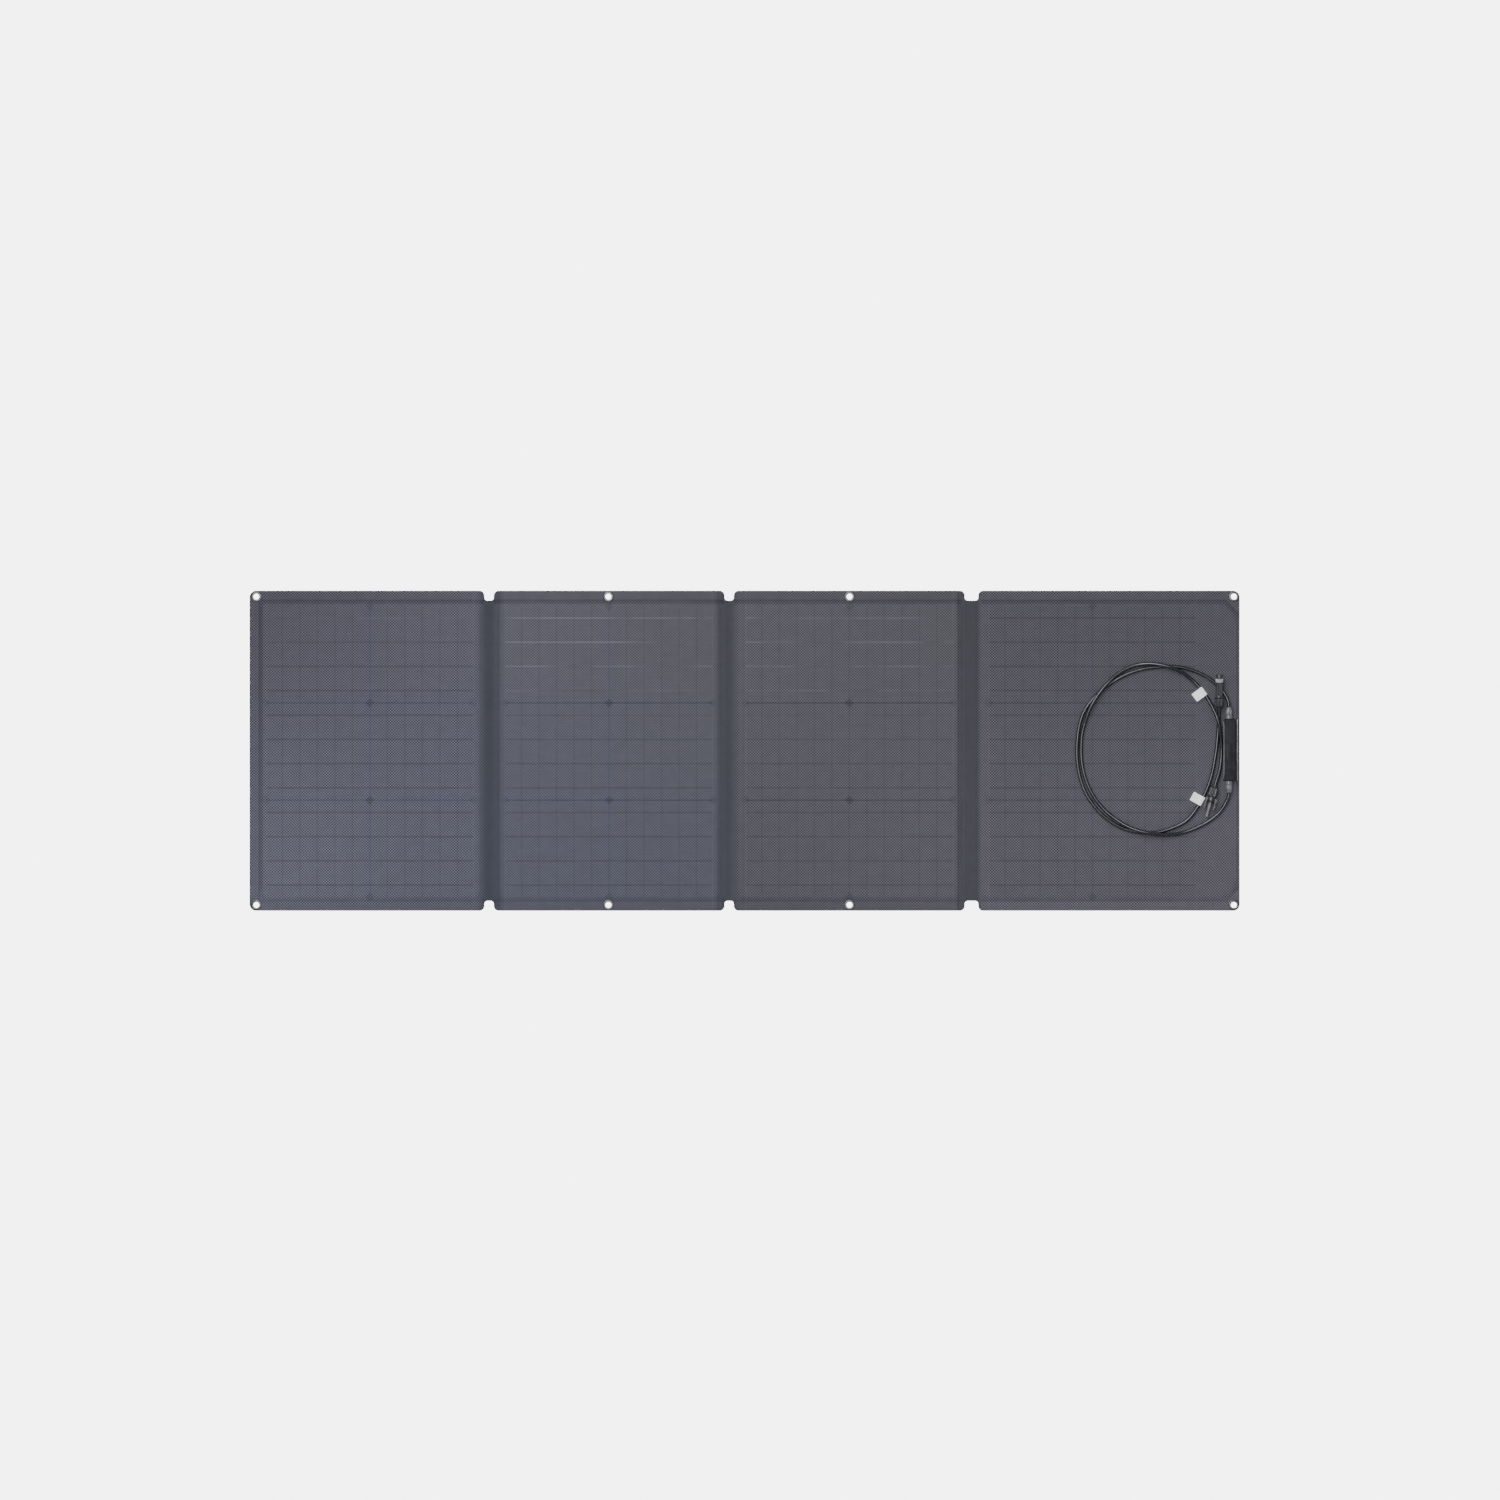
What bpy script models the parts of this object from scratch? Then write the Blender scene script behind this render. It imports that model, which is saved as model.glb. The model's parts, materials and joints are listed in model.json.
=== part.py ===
"""Folding solar sheet: four laminated cell leaves joined by three flexible fold strips.

Front film, cell string, backing board and rear fabric make up each leaf. Eight metal eyelets pierce the
border. The right-hand leaf carries the junction box and two leads that end in latching plugs. The sheet
lies open on z = 0 with its faces up, X along its length and Y along its height.
"""

import math

import bmesh
import bpy
from mathutils import Matrix, Vector

# Sheet outline
SHEET_LENGTH = 1.602
SHEET_HEIGHT = 0.518
HALF_LENGTH = SHEET_LENGTH / 2
HALF_HEIGHT = SHEET_HEIGHT / 2
OUTER_CORNER_RADIUS = 0.0085
NOTCH_DEPTH = 0.016
NOTCH_LIP_RADIUS = 0.007

# Leaf extents along X, from the left-hand leaf to the one with the junction box
LEAF_EXTENTS = (
    (-HALF_LENGTH, -0.4222),
    (-0.4046, -0.0337),
    (-0.0164, 0.3549),
    (0.3792, HALF_LENGTH),
)

# Lamination levels above the floor
FABRIC_THICKNESS = 0.00055
FABRIC_BORDER_BASE = 0.00055
BOARD_BASE = 0.00067
BOARD_THICKNESS = 0.0012
CELL_BASE = 0.00199
CELL_THICKNESS = 0.0003
FILM_THICKNESS = 0.00045
FILM_BORDER_BASE = 0.00122
FILM_CORE_BASE = 0.0024
FILM_CORE_TOP = FILM_CORE_BASE + FILM_THICKNESS

# Insets of the raised core from the leaf edges
BORDER_FOOT = 0.0198
BORDER_TOP = 0.0228
FOLD_FOOT = 0.0015
FOLD_TOP = 0.0094
BOX_SIDE_FOOT = 0.0035
BOX_SIDE_TOP = 0.0060
BOX_SIDE_CHAMFER = 0.024
CORE_CORNER_RADIUS = 0.005
BOARD_MARGIN = 0.0006
CORNER_SEGMENTS = 5

# Cells, two columns by three rows on each leaf
CELL_COLUMN_PITCH = 0.1692
CELL_ROW_PITCH = 0.1573
CELL_WIDTH = 0.1662
CELL_HEIGHT = 0.1558
CELL_CHAMFER = 0.0075
CELL_FIELD_CENTRES = (-0.6061, -0.2193, 0.1695, 0.5628)
BUSBAR_PITCH = 0.0391
BUSBAR_COUNT = 4
RIBBON_WIDTH = 0.0016
ROW_LINK_WIDTH = 0.005
ROW_LINK_OFFSET = 0.060

# Fold strips
FOLD_GAP = 0.0005
FOLD_FABRIC_BASE = 0.0003
FOLD_FABRIC_THICKNESS = 0.00045
JUMPER_BASE = 0.00087
JUMPER_THICKNESS = 0.00023
JUMPER_HEIGHT = 0.024
JUMPER_CENTRE_Y = -0.0786
FOLD_SPAN = {"a": (-0.4222, -0.4046), "b": (-0.0337, -0.0164), "c": (0.3549, 0.3792)}
FOLD_AXIS_SPACING = {"a": 0.008, "b": 0.008, "c": 0.023}
FOLD_AXIS_Z = 0.0011
NOTCH_ROOT_RADIUS = 0.0085
NOTCH_ROOT_ANGLE = math.radians(70)
NOTCH_ROOT_STEPS = 7

# Eyelets
EYELET_BORE_RADIUS = 0.0047
EYELET_BARREL_RADIUS = 0.0052
EYELET_FLANGE_RADIUS = 0.0085
EYELET_FLANGE_BASE = 0.00177
EYELET_TOP = 0.0026
EYELET_FOOT = 0.00005
WASHER_INNER_RADIUS = 0.0055
WASHER_OUTER_RADIUS = 0.0082
WASHER_BASE = 0.00003
WASHER_THICKNESS = 0.0004
HOLE_RADIUS = 0.0055
EYELET_Y = 0.2494
EYELET_X = (-0.7899, -0.2204, 0.1697, 0.7914)
EYELET_STEPS = 24

# Junction box
BOX_X = 0.7859
BOX_Y = 0.0012
BOX_BASE_Z = 0.0030
BOX_FLANGE_WIDTH = 0.0230
BOX_LENGTH = 0.1000
BOX_FLANGE_THICKNESS = 0.0014
BOX_HOUSING_X = 0.7849
BOX_HOUSING_WIDTH = 0.0174
BOX_HOUSING_TOP = 0.0136
BOX_WALL = 0.0014
BOX_FLOOR = 0.0012
GASKET_THICKNESS = 0.0005
GASKET_WIDTH = 0.0011
LID_BASE = 0.0144
LID_THICKNESS = 0.0022
LID_BEVEL = 0.0009
LAYER_GAP = 0.00015
HOUSING_END_INSET = 0.0003
GASKET_INSET = 0.00015
GASKET_END_INSET = 0.00045

# Diode and terminals inside the box
DIODE_X = 0.7868
DIODE_Z = 0.0066
DIODE_PROFILE = (
    (0.0001, -0.0130), (0.0005, -0.0130), (0.0005, -0.0046), (0.0020, -0.0046), (0.0023, -0.0043),
    (0.0023, 0.0043), (0.0020, 0.0046), (0.0005, 0.0046), (0.0005, 0.0130), (0.0001, 0.0130),
)
DIODE_STEPS = 12
DIODE_END_RADIUS = 0.0002
TERMINAL_X = 0.7838
TERMINAL_OFFSET = 0.027
TERMINAL_SIZE = (0.0110, 0.0120, 0.0060)
TERMINAL_BEVEL = 0.0003
WIRE_BORE_RADIUS = 0.0016
WIRE_BORE_HEIGHT = 0.0036

# Cable glands and cables
GLAND_X = 0.7826
GLAND_Z = 0.0090
GLAND_RADIUS = 0.00575
GLAND_LENGTH = 0.0188
GLAND_GAP = 0.0003
CABLE_RADIUS = 0.0028
CABLE_BORE_RADIUS = 0.0032
GLAND_PROFILE = (
    (CABLE_BORE_RADIUS, 0.0), (0.00535, 0.0), (GLAND_RADIUS, 0.0006), (GLAND_RADIUS, 0.0128),
    (0.00485, 0.0148), (0.00445, 0.0182), (0.00395, GLAND_LENGTH), (CABLE_BORE_RADIUS, GLAND_LENGTH),
)
CABLE_SAMPLE = 0.0118
CABLE_BEVEL_SEGMENTS = 2
CABLE_INSERTION = 0.007
CABLE_LEAD_OUT = 0.005

# Labels folded round the cables
LABEL_LENGTH = 0.0150
LABEL_TAIL = 0.0168
LABEL_THICKNESS = 0.0003
LABEL_LOOP_RADIUS = 0.0034
LABEL_LAYER_GAP = 0.0002
LABEL_LOOP_STEPS = 14
LABEL_SEAT = 0.003
CABLE_LOOP_CENTRE = (0.655, 0.002)

# Plugs
PLUG_NUT_RADIUS = 0.00725
PLUG_NUT_FLUTES = 10
PLUG_FLUTE_DEPTH = 0.0006
LATHE_STEPS = 24
PLUG_1_REAR = (0.7602, -0.0565, 0.0103)
PLUG_1_AXIS = (-0.2630, -0.9648, 0.0)
PLUG_1_NUT_LENGTH = 0.0186
PLUG_1_NECK_PROFILE = (
    (0.0027, 0.0189), (0.0062, 0.0189), (0.0062, 0.0208), (0.0066, 0.0212),
    (0.0066, 0.0250), (0.0058, 0.0262), (0.0027, 0.0262),
)
PLUG_1_ARM_OUTLINE = (
    (0.0040, 0.0205), (0.0092, 0.0205), (0.0098, 0.0225), (0.0098, 0.0250), (0.0084, 0.0262),
    (0.0084, 0.0315), (0.0094, 0.0330), (0.0092, 0.0352), (0.0074, 0.0400), (0.0064, 0.0400),
    (0.0066, 0.0262), (0.0060, 0.0240), (0.0040, 0.0240),
)
PLUG_1_ARM_HALF_HEIGHT = 0.0030
PLUG_1_CONTACT_PROFILE = (
    (0.0012, 0.0200), (0.0024, 0.0200), (0.0024, 0.0508), (0.0020, 0.0520), (0.0012, 0.0520),
)
PLUG_2_REAR = (0.7668, 0.0682, 0.0104)
PLUG_2_TILT = math.radians(8.5)
PLUG_2_NUT_LENGTH = 0.0170
PLUG_2_SHELL_PROFILE = (
    (0.0036, 0.0173), (0.0060, 0.0173), (0.0060, 0.0200), (0.0056, 0.0206), (0.0053, 0.0300),
    (0.0056, 0.0420), (0.0056, 0.0426), (0.0047, 0.0426), (0.0047, 0.0492), (0.0054, 0.0492),
    (0.0056, 0.0500), (0.0052, 0.0548), (0.0036, 0.0548),
)
PLUG_2_SEAL_PROFILE = (
    (0.0050, 0.0429), (0.0060, 0.0429), (0.0062, 0.0440), (0.0062, 0.0478), (0.0060, 0.0489),
    (0.0050, 0.0489),
)
PLUG_2_CONTACT_PROFILE = (
    (0.0006, 0.0190), (0.0030, 0.0190), (0.0030, 0.0220), (0.0019, 0.0230), (0.0019, 0.0500),
    (0.0012, 0.0512), (0.0006, 0.0512),
)

# Route of the lead from the lower gland to plug 1
ROUTE_1 = (
    (0.7785, -0.0825, 0.0080),
    (0.7700, -0.0970, 0.0068),
    (0.7578, -0.1085, 0.0060),
    (0.7389, -0.1206, 0.0058),
    (0.7065, -0.1331, 0.0060),
    (0.6810, -0.1355, 0.0090),
    (0.6526, -0.1328, 0.0121),
    (0.6285, -0.1264, 0.0106),
    (0.6065, -0.1150, 0.0078),
    (0.5798, -0.0934, 0.0058),
    (0.5580, -0.0619, 0.0058),
    (0.5458, -0.0231, 0.0058),
    (0.5450, 0.0222, 0.0060),
    (0.5496, 0.0440, 0.0076),
    (0.5555, 0.0620, 0.0104),
    (0.5620, 0.0760, 0.0120),
    (0.5695, 0.0880, 0.0123),
    (0.5772, 0.0984, 0.0122),
    (0.5879, 0.1101, 0.0110),
    (0.6033, 0.1239, 0.0078),
    (0.6203, 0.1339, 0.0062),
    (0.6400, 0.1398, 0.0063),
    (0.6600, 0.1405, 0.0094),
    (0.6850, 0.1360, 0.0121),
    (0.7050, 0.1278, 0.0096),
    (0.7230, 0.1152, 0.0067),
    (0.7416, 0.0946, 0.0076),
    (0.7567, 0.0692, 0.0118),
    (0.7626, 0.0554, 0.0137),
    (0.7673, 0.0400, 0.0131),
    (0.7701, 0.0201, 0.0090),
    (0.7709, -0.0015, 0.0064),
    (0.7696, -0.0214, 0.0066),
    (0.7665, -0.0376, 0.0086),
)

# Route of the lead from the upper gland to plug 2
ROUTE_2 = (
    (0.7795, 0.0860, 0.0077),
    (0.7724, 0.0970, 0.0059),
    (0.7605, 0.1101, 0.0058),
    (0.7335, 0.1266, 0.0058),
    (0.7012, 0.1355, 0.0058),
    (0.6688, 0.1355, 0.0058),
    (0.6364, 0.1302, 0.0058),
    (0.6041, 0.1167, 0.0058),
    (0.5717, 0.0926, 0.0058),
    (0.5471, 0.0595, 0.0058),
    (0.5377, 0.0142, 0.0058),
    (0.5398, -0.0311, 0.0058),
    (0.5520, -0.0692, 0.0058),
    (0.5754, -0.1007, 0.0058),
    (0.6041, -0.1218, 0.0058),
    (0.6364, -0.1319, 0.0058),
    (0.6688, -0.1315, 0.0058),
    (0.7012, -0.1209, 0.0058),
    (0.7173, -0.1104, 0.0063),
    (0.7377, -0.0820, 0.0069),
    (0.7526, -0.0481, 0.0062),
    (0.7617, -0.0053, 0.0058),
    (0.7657, 0.0368, 0.0062),
)

# Points on the leads nearest to their labels
LABEL_1_POINT = (0.7416, 0.0946)
LABEL_2_POINT = (0.7377, -0.0820)

BLACK_PLASTIC = (0.020, 0.020, 0.022)
DARK_FILM = (0.105, 0.110, 0.135)
WHITE_METAL = (0.72, 0.72, 0.73)


def clear_scene():
    for obj in list(bpy.data.objects):
        bpy.data.objects.remove(obj, do_unlink=True)


def make_material(name, colour, roughness, metallic):
    material = bpy.data.materials.new(name)
    material.use_nodes = True
    shader = material.node_tree.nodes["Principled BSDF"]
    shader.inputs["Base Color"].default_value = (*colour, 1.0)
    shader.inputs["Roughness"].default_value = roughness
    shader.inputs["Metallic"].default_value = metallic
    return material


def make_body(name, location, parent=None):
    """Empty that stands for one rigid body, placed on the axis the body turns about."""
    body = bpy.data.objects.new(name, None)
    bpy.context.collection.objects.link(body)
    body.empty_display_size = 0.02
    body["world"] = location
    if parent is None:
        body.location = location
    else:
        body.parent = parent
        body.location = Vector(location) - Vector(parent["world"])
    return body


def finish(obj, body, colour, roughness, metallic=0.0, smooth=False):
    """Gives the object its own material and hangs it from its body without moving it."""
    obj.data.materials.clear()
    obj.data.materials.append(make_material(f"mat_{obj.name}", colour, roughness, metallic))
    if smooth:
        for face in obj.data.polygons:
            face.use_smooth = True
        obj.data.set_sharp_from_angle(angle=math.radians(35))
    obj.parent = body
    obj.matrix_parent_inverse = Matrix.Translation(-Vector(body["world"]))
    return obj


def object_from_bmesh(name, bm):
    bmesh.ops.recalc_face_normals(bm, faces=bm.faces)
    mesh = bpy.data.meshes.new(name)
    bm.to_mesh(mesh)
    bm.free()
    obj = bpy.data.objects.new(name, mesh)
    bpy.context.collection.objects.link(obj)
    return obj


def stacked_loops(name, levels):
    """Closed solid through loops of equal point counts, capped at the first and the last loop."""
    bm = bmesh.new()
    rows = [[bm.verts.new((x, y, z)) for x, y in loop] for loop, z in levels]
    count = len(rows[0])
    for lower, upper in zip(rows, rows[1:]):
        for i in range(count):
            j = (i + 1) % count
            bm.faces.new((lower[i], lower[j], upper[j], upper[i]))
    bm.faces.new(rows[0])
    bm.faces.new(rows[-1])
    return object_from_bmesh(name, bm)


def plate(name, loop, base, thickness):
    return stacked_loops(name, [(loop, base), (loop, base + thickness)])


def box(name, centre, size, bevel=0.0, segments=2):
    bpy.ops.mesh.primitive_cube_add(size=1.0, location=centre)
    obj = bpy.context.object
    obj.name = name
    obj.data.name = name
    obj.scale = size
    bpy.ops.object.transform_apply(location=True, rotation=False, scale=True)
    if bevel:
        modifier = obj.modifiers.new("edge_round", "BEVEL")
        modifier.width = bevel
        modifier.segments = segments
        modifier.limit_method = "ANGLE"
        modifier.angle_limit = math.radians(40)
    return obj


def cylinder(name, radius, length, centre, axis=(0.0, 0.0, 1.0), steps=32):
    bpy.ops.mesh.primitive_cylinder_add(vertices=steps, radius=radius, depth=length)
    obj = bpy.context.object
    obj.name = name
    turn = Vector((0.0, 0.0, 1.0)).rotation_difference(Vector(axis)).to_matrix().to_4x4()
    obj.data.transform(Matrix.Translation(Vector(centre)) @ turn)
    return obj


def hide_cutter(cutter):
    cutter.hide_render = True
    cutter.display_type = "WIRE"


def boolean(obj, other, operation):
    modifier = obj.modifiers.new(f"{operation.lower()}_{other.name}", "BOOLEAN")
    modifier.operation = operation
    modifier.solver = "EXACT"
    modifier.object = other
    hide_cutter(other)


def axis_frame(origin, axis):
    """Matrix that carries local +Z onto the axis, with local Y kept as near world +Z as it can be."""
    along = Vector(axis).normalized()
    side = Vector((0.0, 0.0, 1.0)).cross(along).normalized()
    lift = along.cross(side)
    rotation = Matrix((-side, lift, along)).transposed()
    if rotation.determinant() < 0:
        rotation = Matrix((side, lift, along)).transposed()
    return Matrix.Translation(Vector(origin)) @ rotation.to_4x4()


def lathe(name, profile, frame, steps=LATHE_STEPS, flutes=0, flute_range=None):
    """Closed solid of revolution about local Z. The profile is a closed loop of (radius, height).

    The flute range gives the first height, the last height and the least radius that take flutes.
    """
    bm = bmesh.new()
    rings = []
    for step in range(steps):
        angle = 2 * math.pi * step / steps
        ring = []
        for radius, height in profile:
            if flutes and flute_range[0] <= height <= flute_range[1] and radius >= flute_range[2]:
                radius -= PLUG_FLUTE_DEPTH * (0.5 - 0.5 * math.cos(flutes * angle)) ** 2
            ring.append(bm.verts.new((radius * math.cos(angle), radius * math.sin(angle), height)))
        rings.append(ring)
    count = len(profile)
    for step in range(steps):
        here, there = rings[step], rings[(step + 1) % steps]
        for i in range(count):
            j = (i + 1) % count
            bm.faces.new((here[i], there[i], there[j], here[j]))
    bmesh.ops.transform(bm, matrix=frame, verts=bm.verts)
    return object_from_bmesh(name, bm)


def corner_points(x, y, radius, start, chamfered):
    points = []
    for step in range(CORNER_SEGMENTS + 1):
        share = step / CORNER_SEGMENTS
        angle = start + share * math.pi / 2
        if chamfered:
            first = (math.cos(start), math.sin(start))
            last = (math.cos(start + math.pi / 2), math.sin(start + math.pi / 2))
            points.append((
                x + radius * (first[0] + share * (last[0] - first[0])),
                y + radius * (first[1] + share * (last[1] - first[1])),
            ))
        else:
            points.append((x + radius * math.cos(angle), y + radius * math.sin(angle)))
    return points


def rounded_rectangle(x0, x1, y0, y1, left_radius, right_radius, right_chamfered=False):
    """Counter-clockwise loop from the lower right corner."""
    r, l = right_radius, left_radius
    points = corner_points(x1 - r, y0 + r, r, -math.pi / 2, right_chamfered)
    points += corner_points(x1 - r, y1 - r, r, 0.0, right_chamfered)
    points += corner_points(x0 + l, y1 - l, l, math.pi / 2, False)
    points += corner_points(x0 + l, y0 + l, l, math.pi, False)
    return points


def leaf_loops(index):
    """Outline, foot and top of the raised core of one leaf."""
    x0, x1 = LEAF_EXTENTS[index]
    first = index == 0
    last = index == len(LEAF_EXTENTS) - 1
    outline = rounded_rectangle(
        x0, x1, -HALF_HEIGHT, HALF_HEIGHT,
        OUTER_CORNER_RADIUS if first else NOTCH_LIP_RADIUS,
        OUTER_CORNER_RADIUS if last else NOTCH_LIP_RADIUS,
    )
    left_foot = BORDER_FOOT if first else FOLD_FOOT
    left_top = BORDER_TOP if first else FOLD_TOP
    right_foot = BOX_SIDE_FOOT if last else FOLD_FOOT
    right_top = BOX_SIDE_TOP if last else FOLD_TOP
    corner = BOX_SIDE_CHAMFER if last else CORE_CORNER_RADIUS
    foot = rounded_rectangle(
        x0 + left_foot, x1 - right_foot, -HALF_HEIGHT + BORDER_FOOT, HALF_HEIGHT - BORDER_FOOT,
        CORE_CORNER_RADIUS, corner, last,
    )
    top = rounded_rectangle(
        x0 + left_top, x1 - right_top, -HALF_HEIGHT + BORDER_TOP, HALF_HEIGHT - BORDER_TOP,
        CORE_CORNER_RADIUS, corner, last,
    )
    return outline, foot, top


def board_loop(index):
    x0, x1 = LEAF_EXTENTS[index]
    first = index == 0
    last = index == len(LEAF_EXTENTS) - 1
    left = (BORDER_TOP if first else FOLD_TOP) + BOARD_MARGIN
    right = (BOX_SIDE_TOP if last else FOLD_TOP) + BOARD_MARGIN
    edge_y = HALF_HEIGHT - BORDER_TOP - BOARD_MARGIN
    corner = BOX_SIDE_CHAMFER if last else CORE_CORNER_RADIUS
    return rounded_rectangle(x0 + left, x1 - right, -edge_y, edge_y, CORE_CORNER_RADIUS, corner, last)


def eyelet_cutter(name, x):
    """Pair of drills, one through the upper border and one through the lower."""
    bm = bmesh.new()
    for y in (-EYELET_Y, EYELET_Y):
        bmesh.ops.create_cone(
            bm, cap_ends=True, segments=EYELET_STEPS, radius1=HOLE_RADIUS, radius2=HOLE_RADIUS,
            depth=0.02, matrix=Matrix.Translation((x, y, 0.0)),
        )
    return object_from_bmesh(name, bm)


def build_leaf(index, body):
    number = index + 1
    outline, foot, top = leaf_loops(index)
    border_film_top = FILM_BORDER_BASE + FILM_THICKNESS
    film = stacked_loops(f"front_film_{number}", [
        (top, FILM_CORE_TOP), (foot, border_film_top), (outline, border_film_top),
        (outline, FILM_BORDER_BASE), (foot, FILM_BORDER_BASE), (top, FILM_CORE_BASE),
    ])
    fabric = stacked_loops(f"rear_fabric_{number}", [
        (top, FABRIC_THICKNESS), (foot, FABRIC_BORDER_BASE + FABRIC_THICKNESS),
        (outline, FABRIC_BORDER_BASE + FABRIC_THICKNESS), (outline, FABRIC_BORDER_BASE),
        (foot, FABRIC_BORDER_BASE), (top, 0.0),
    ])
    cutter = eyelet_cutter(f"eyelet_drill_{number}", EYELET_X[index])
    boolean(film, cutter, "DIFFERENCE")
    boolean(fabric, cutter, "DIFFERENCE")
    board = plate(f"backing_board_{number}", board_loop(index), BOARD_BASE, BOARD_THICKNESS)
    cells = build_cells(f"cell_string_{number}", CELL_FIELD_CENTRES[index])
    finish(film, body, DARK_FILM, 0.42)
    finish(fabric, body, (0.03, 0.03, 0.034), 0.85)
    finish(board, body, (0.56, 0.60, 0.42), 0.55)
    finish(cells, body, (0.03, 0.04, 0.10), 0.3)
    for y, side in ((EYELET_Y, "top"), (-EYELET_Y, "bottom")):
        build_eyelet(f"{side}_{number}", EYELET_X[index], y, body)


def cell_outline(x, y, left_tabs, right_tabs, lower_tab, upper_tab):
    """Counter-clockwise outline of one cell, with extra points where ribbons meet its edges."""
    w, h, c = CELL_WIDTH / 2, CELL_HEIGHT / 2, CELL_CHAMFER
    points = [(x - w + c, y - h)]
    if lower_tab is not None:
        points += [(lower_tab - ROW_LINK_WIDTH / 2, y - h), (lower_tab + ROW_LINK_WIDTH / 2, y - h)]
    points += [(x + w - c, y - h), (x + w, y - h + c)]
    if right_tabs:
        for tab in busbar_heights(y):
            points += [(x + w, tab - RIBBON_WIDTH / 2), (x + w, tab + RIBBON_WIDTH / 2)]
    points += [(x + w, y + h - c), (x + w - c, y + h)]
    if upper_tab is not None:
        points += [(upper_tab + ROW_LINK_WIDTH / 2, y + h), (upper_tab - ROW_LINK_WIDTH / 2, y + h)]
    points += [(x - w + c, y + h), (x - w, y + h - c)]
    if left_tabs:
        for tab in reversed(busbar_heights(y)):
            points += [(x - w, tab + RIBBON_WIDTH / 2), (x - w, tab - RIBBON_WIDTH / 2)]
    points.append((x - w, y - h + c))
    return points


def busbar_heights(y):
    middle = (BUSBAR_COUNT - 1) / 2
    return [y + (i - middle) * BUSBAR_PITCH for i in range(BUSBAR_COUNT)]


def build_cells(name, centre):
    """Six cells joined by ribbons into one series string that winds from the bottom row to the top."""
    left, right = centre - CELL_COLUMN_PITCH / 2, centre + CELL_COLUMN_PITCH / 2
    rows = (-CELL_ROW_PITCH, 0.0, CELL_ROW_PITCH)
    left_link, right_link = left - ROW_LINK_OFFSET, right + ROW_LINK_OFFSET
    row_links = ((None, right_link), (right_link, left_link), (left_link, None))
    polygons = []
    for y, (lower, upper) in zip(rows, row_links):
        for x, on_left in ((left, True), (right, False)):
            own_lower = lower if lower is not None and (lower < centre) == on_left else None
            own_upper = upper if upper is not None and (upper < centre) == on_left else None
            polygons.append(cell_outline(x, y, not on_left, on_left, own_lower, own_upper))
        inner_left, inner_right = left + CELL_WIDTH / 2, right - CELL_WIDTH / 2
        for tab in busbar_heights(y):
            low, high = tab - RIBBON_WIDTH / 2, tab + RIBBON_WIDTH / 2
            polygons.append([(inner_left, low), (inner_right, low), (inner_right, high), (inner_left, high)])
    for y, (_, upper) in zip(rows, row_links):
        if upper is None:
            continue
        low, high = y + CELL_HEIGHT / 2, y + CELL_ROW_PITCH - CELL_HEIGHT / 2
        start, end = upper - ROW_LINK_WIDTH / 2, upper + ROW_LINK_WIDTH / 2
        polygons.append([(start, low), (end, low), (end, high), (start, high)])
    bm = bmesh.new()
    for polygon in polygons:
        bm.faces.new([bm.verts.new((x, y, CELL_BASE)) for x, y in polygon])
    bmesh.ops.remove_doubles(bm, verts=bm.verts, dist=1e-6)
    sheet = list(bm.faces)
    raised = bmesh.ops.extrude_face_region(bm, geom=sheet, use_keep_orig=True)
    lifted = [item for item in raised["geom"] if isinstance(item, bmesh.types.BMVert)]
    bmesh.ops.translate(bm, verts=lifted, vec=(0.0, 0.0, CELL_THICKNESS))
    return object_from_bmesh(name, bm)


def build_eyelet(tag, x, y, body):
    frame = Matrix.Translation((x, y, 0.0))
    dome = (EYELET_TOP - EYELET_FLANGE_BASE) / 2
    eyelet = lathe(f"eyelet_{tag}", [
        (EYELET_BORE_RADIUS + 0.0001, EYELET_FOOT),
        (EYELET_BARREL_RADIUS, EYELET_FOOT),
        (EYELET_BARREL_RADIUS, EYELET_FLANGE_BASE),
        (EYELET_FLANGE_RADIUS - 0.0003, EYELET_FLANGE_BASE),
        (EYELET_FLANGE_RADIUS, EYELET_FLANGE_BASE + dome * 0.6),
        (EYELET_FLANGE_RADIUS - 0.0006, EYELET_FLANGE_BASE + dome * 1.5),
        (EYELET_FLANGE_RADIUS - 0.0017, EYELET_TOP),
        (EYELET_BORE_RADIUS + 0.0014, EYELET_TOP),
        (EYELET_BORE_RADIUS + 0.0004, EYELET_TOP - dome * 0.5),
        (EYELET_BORE_RADIUS, EYELET_TOP - dome * 1.3),
    ], frame, EYELET_STEPS)
    washer = lathe(f"eyelet_washer_{tag}", [
        (WASHER_INNER_RADIUS, WASHER_BASE),
        (WASHER_OUTER_RADIUS - 0.0002, WASHER_BASE),
        (WASHER_OUTER_RADIUS, WASHER_BASE + WASHER_THICKNESS / 2),
        (WASHER_OUTER_RADIUS - 0.0002, WASHER_BASE + WASHER_THICKNESS),
        (WASHER_INNER_RADIUS, WASHER_BASE + WASHER_THICKNESS),
    ], frame, EYELET_STEPS)
    finish(eyelet, body, WHITE_METAL, 0.3, 1.0, smooth=True)
    finish(washer, body, WHITE_METAL, 0.35, 1.0, smooth=True)


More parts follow.
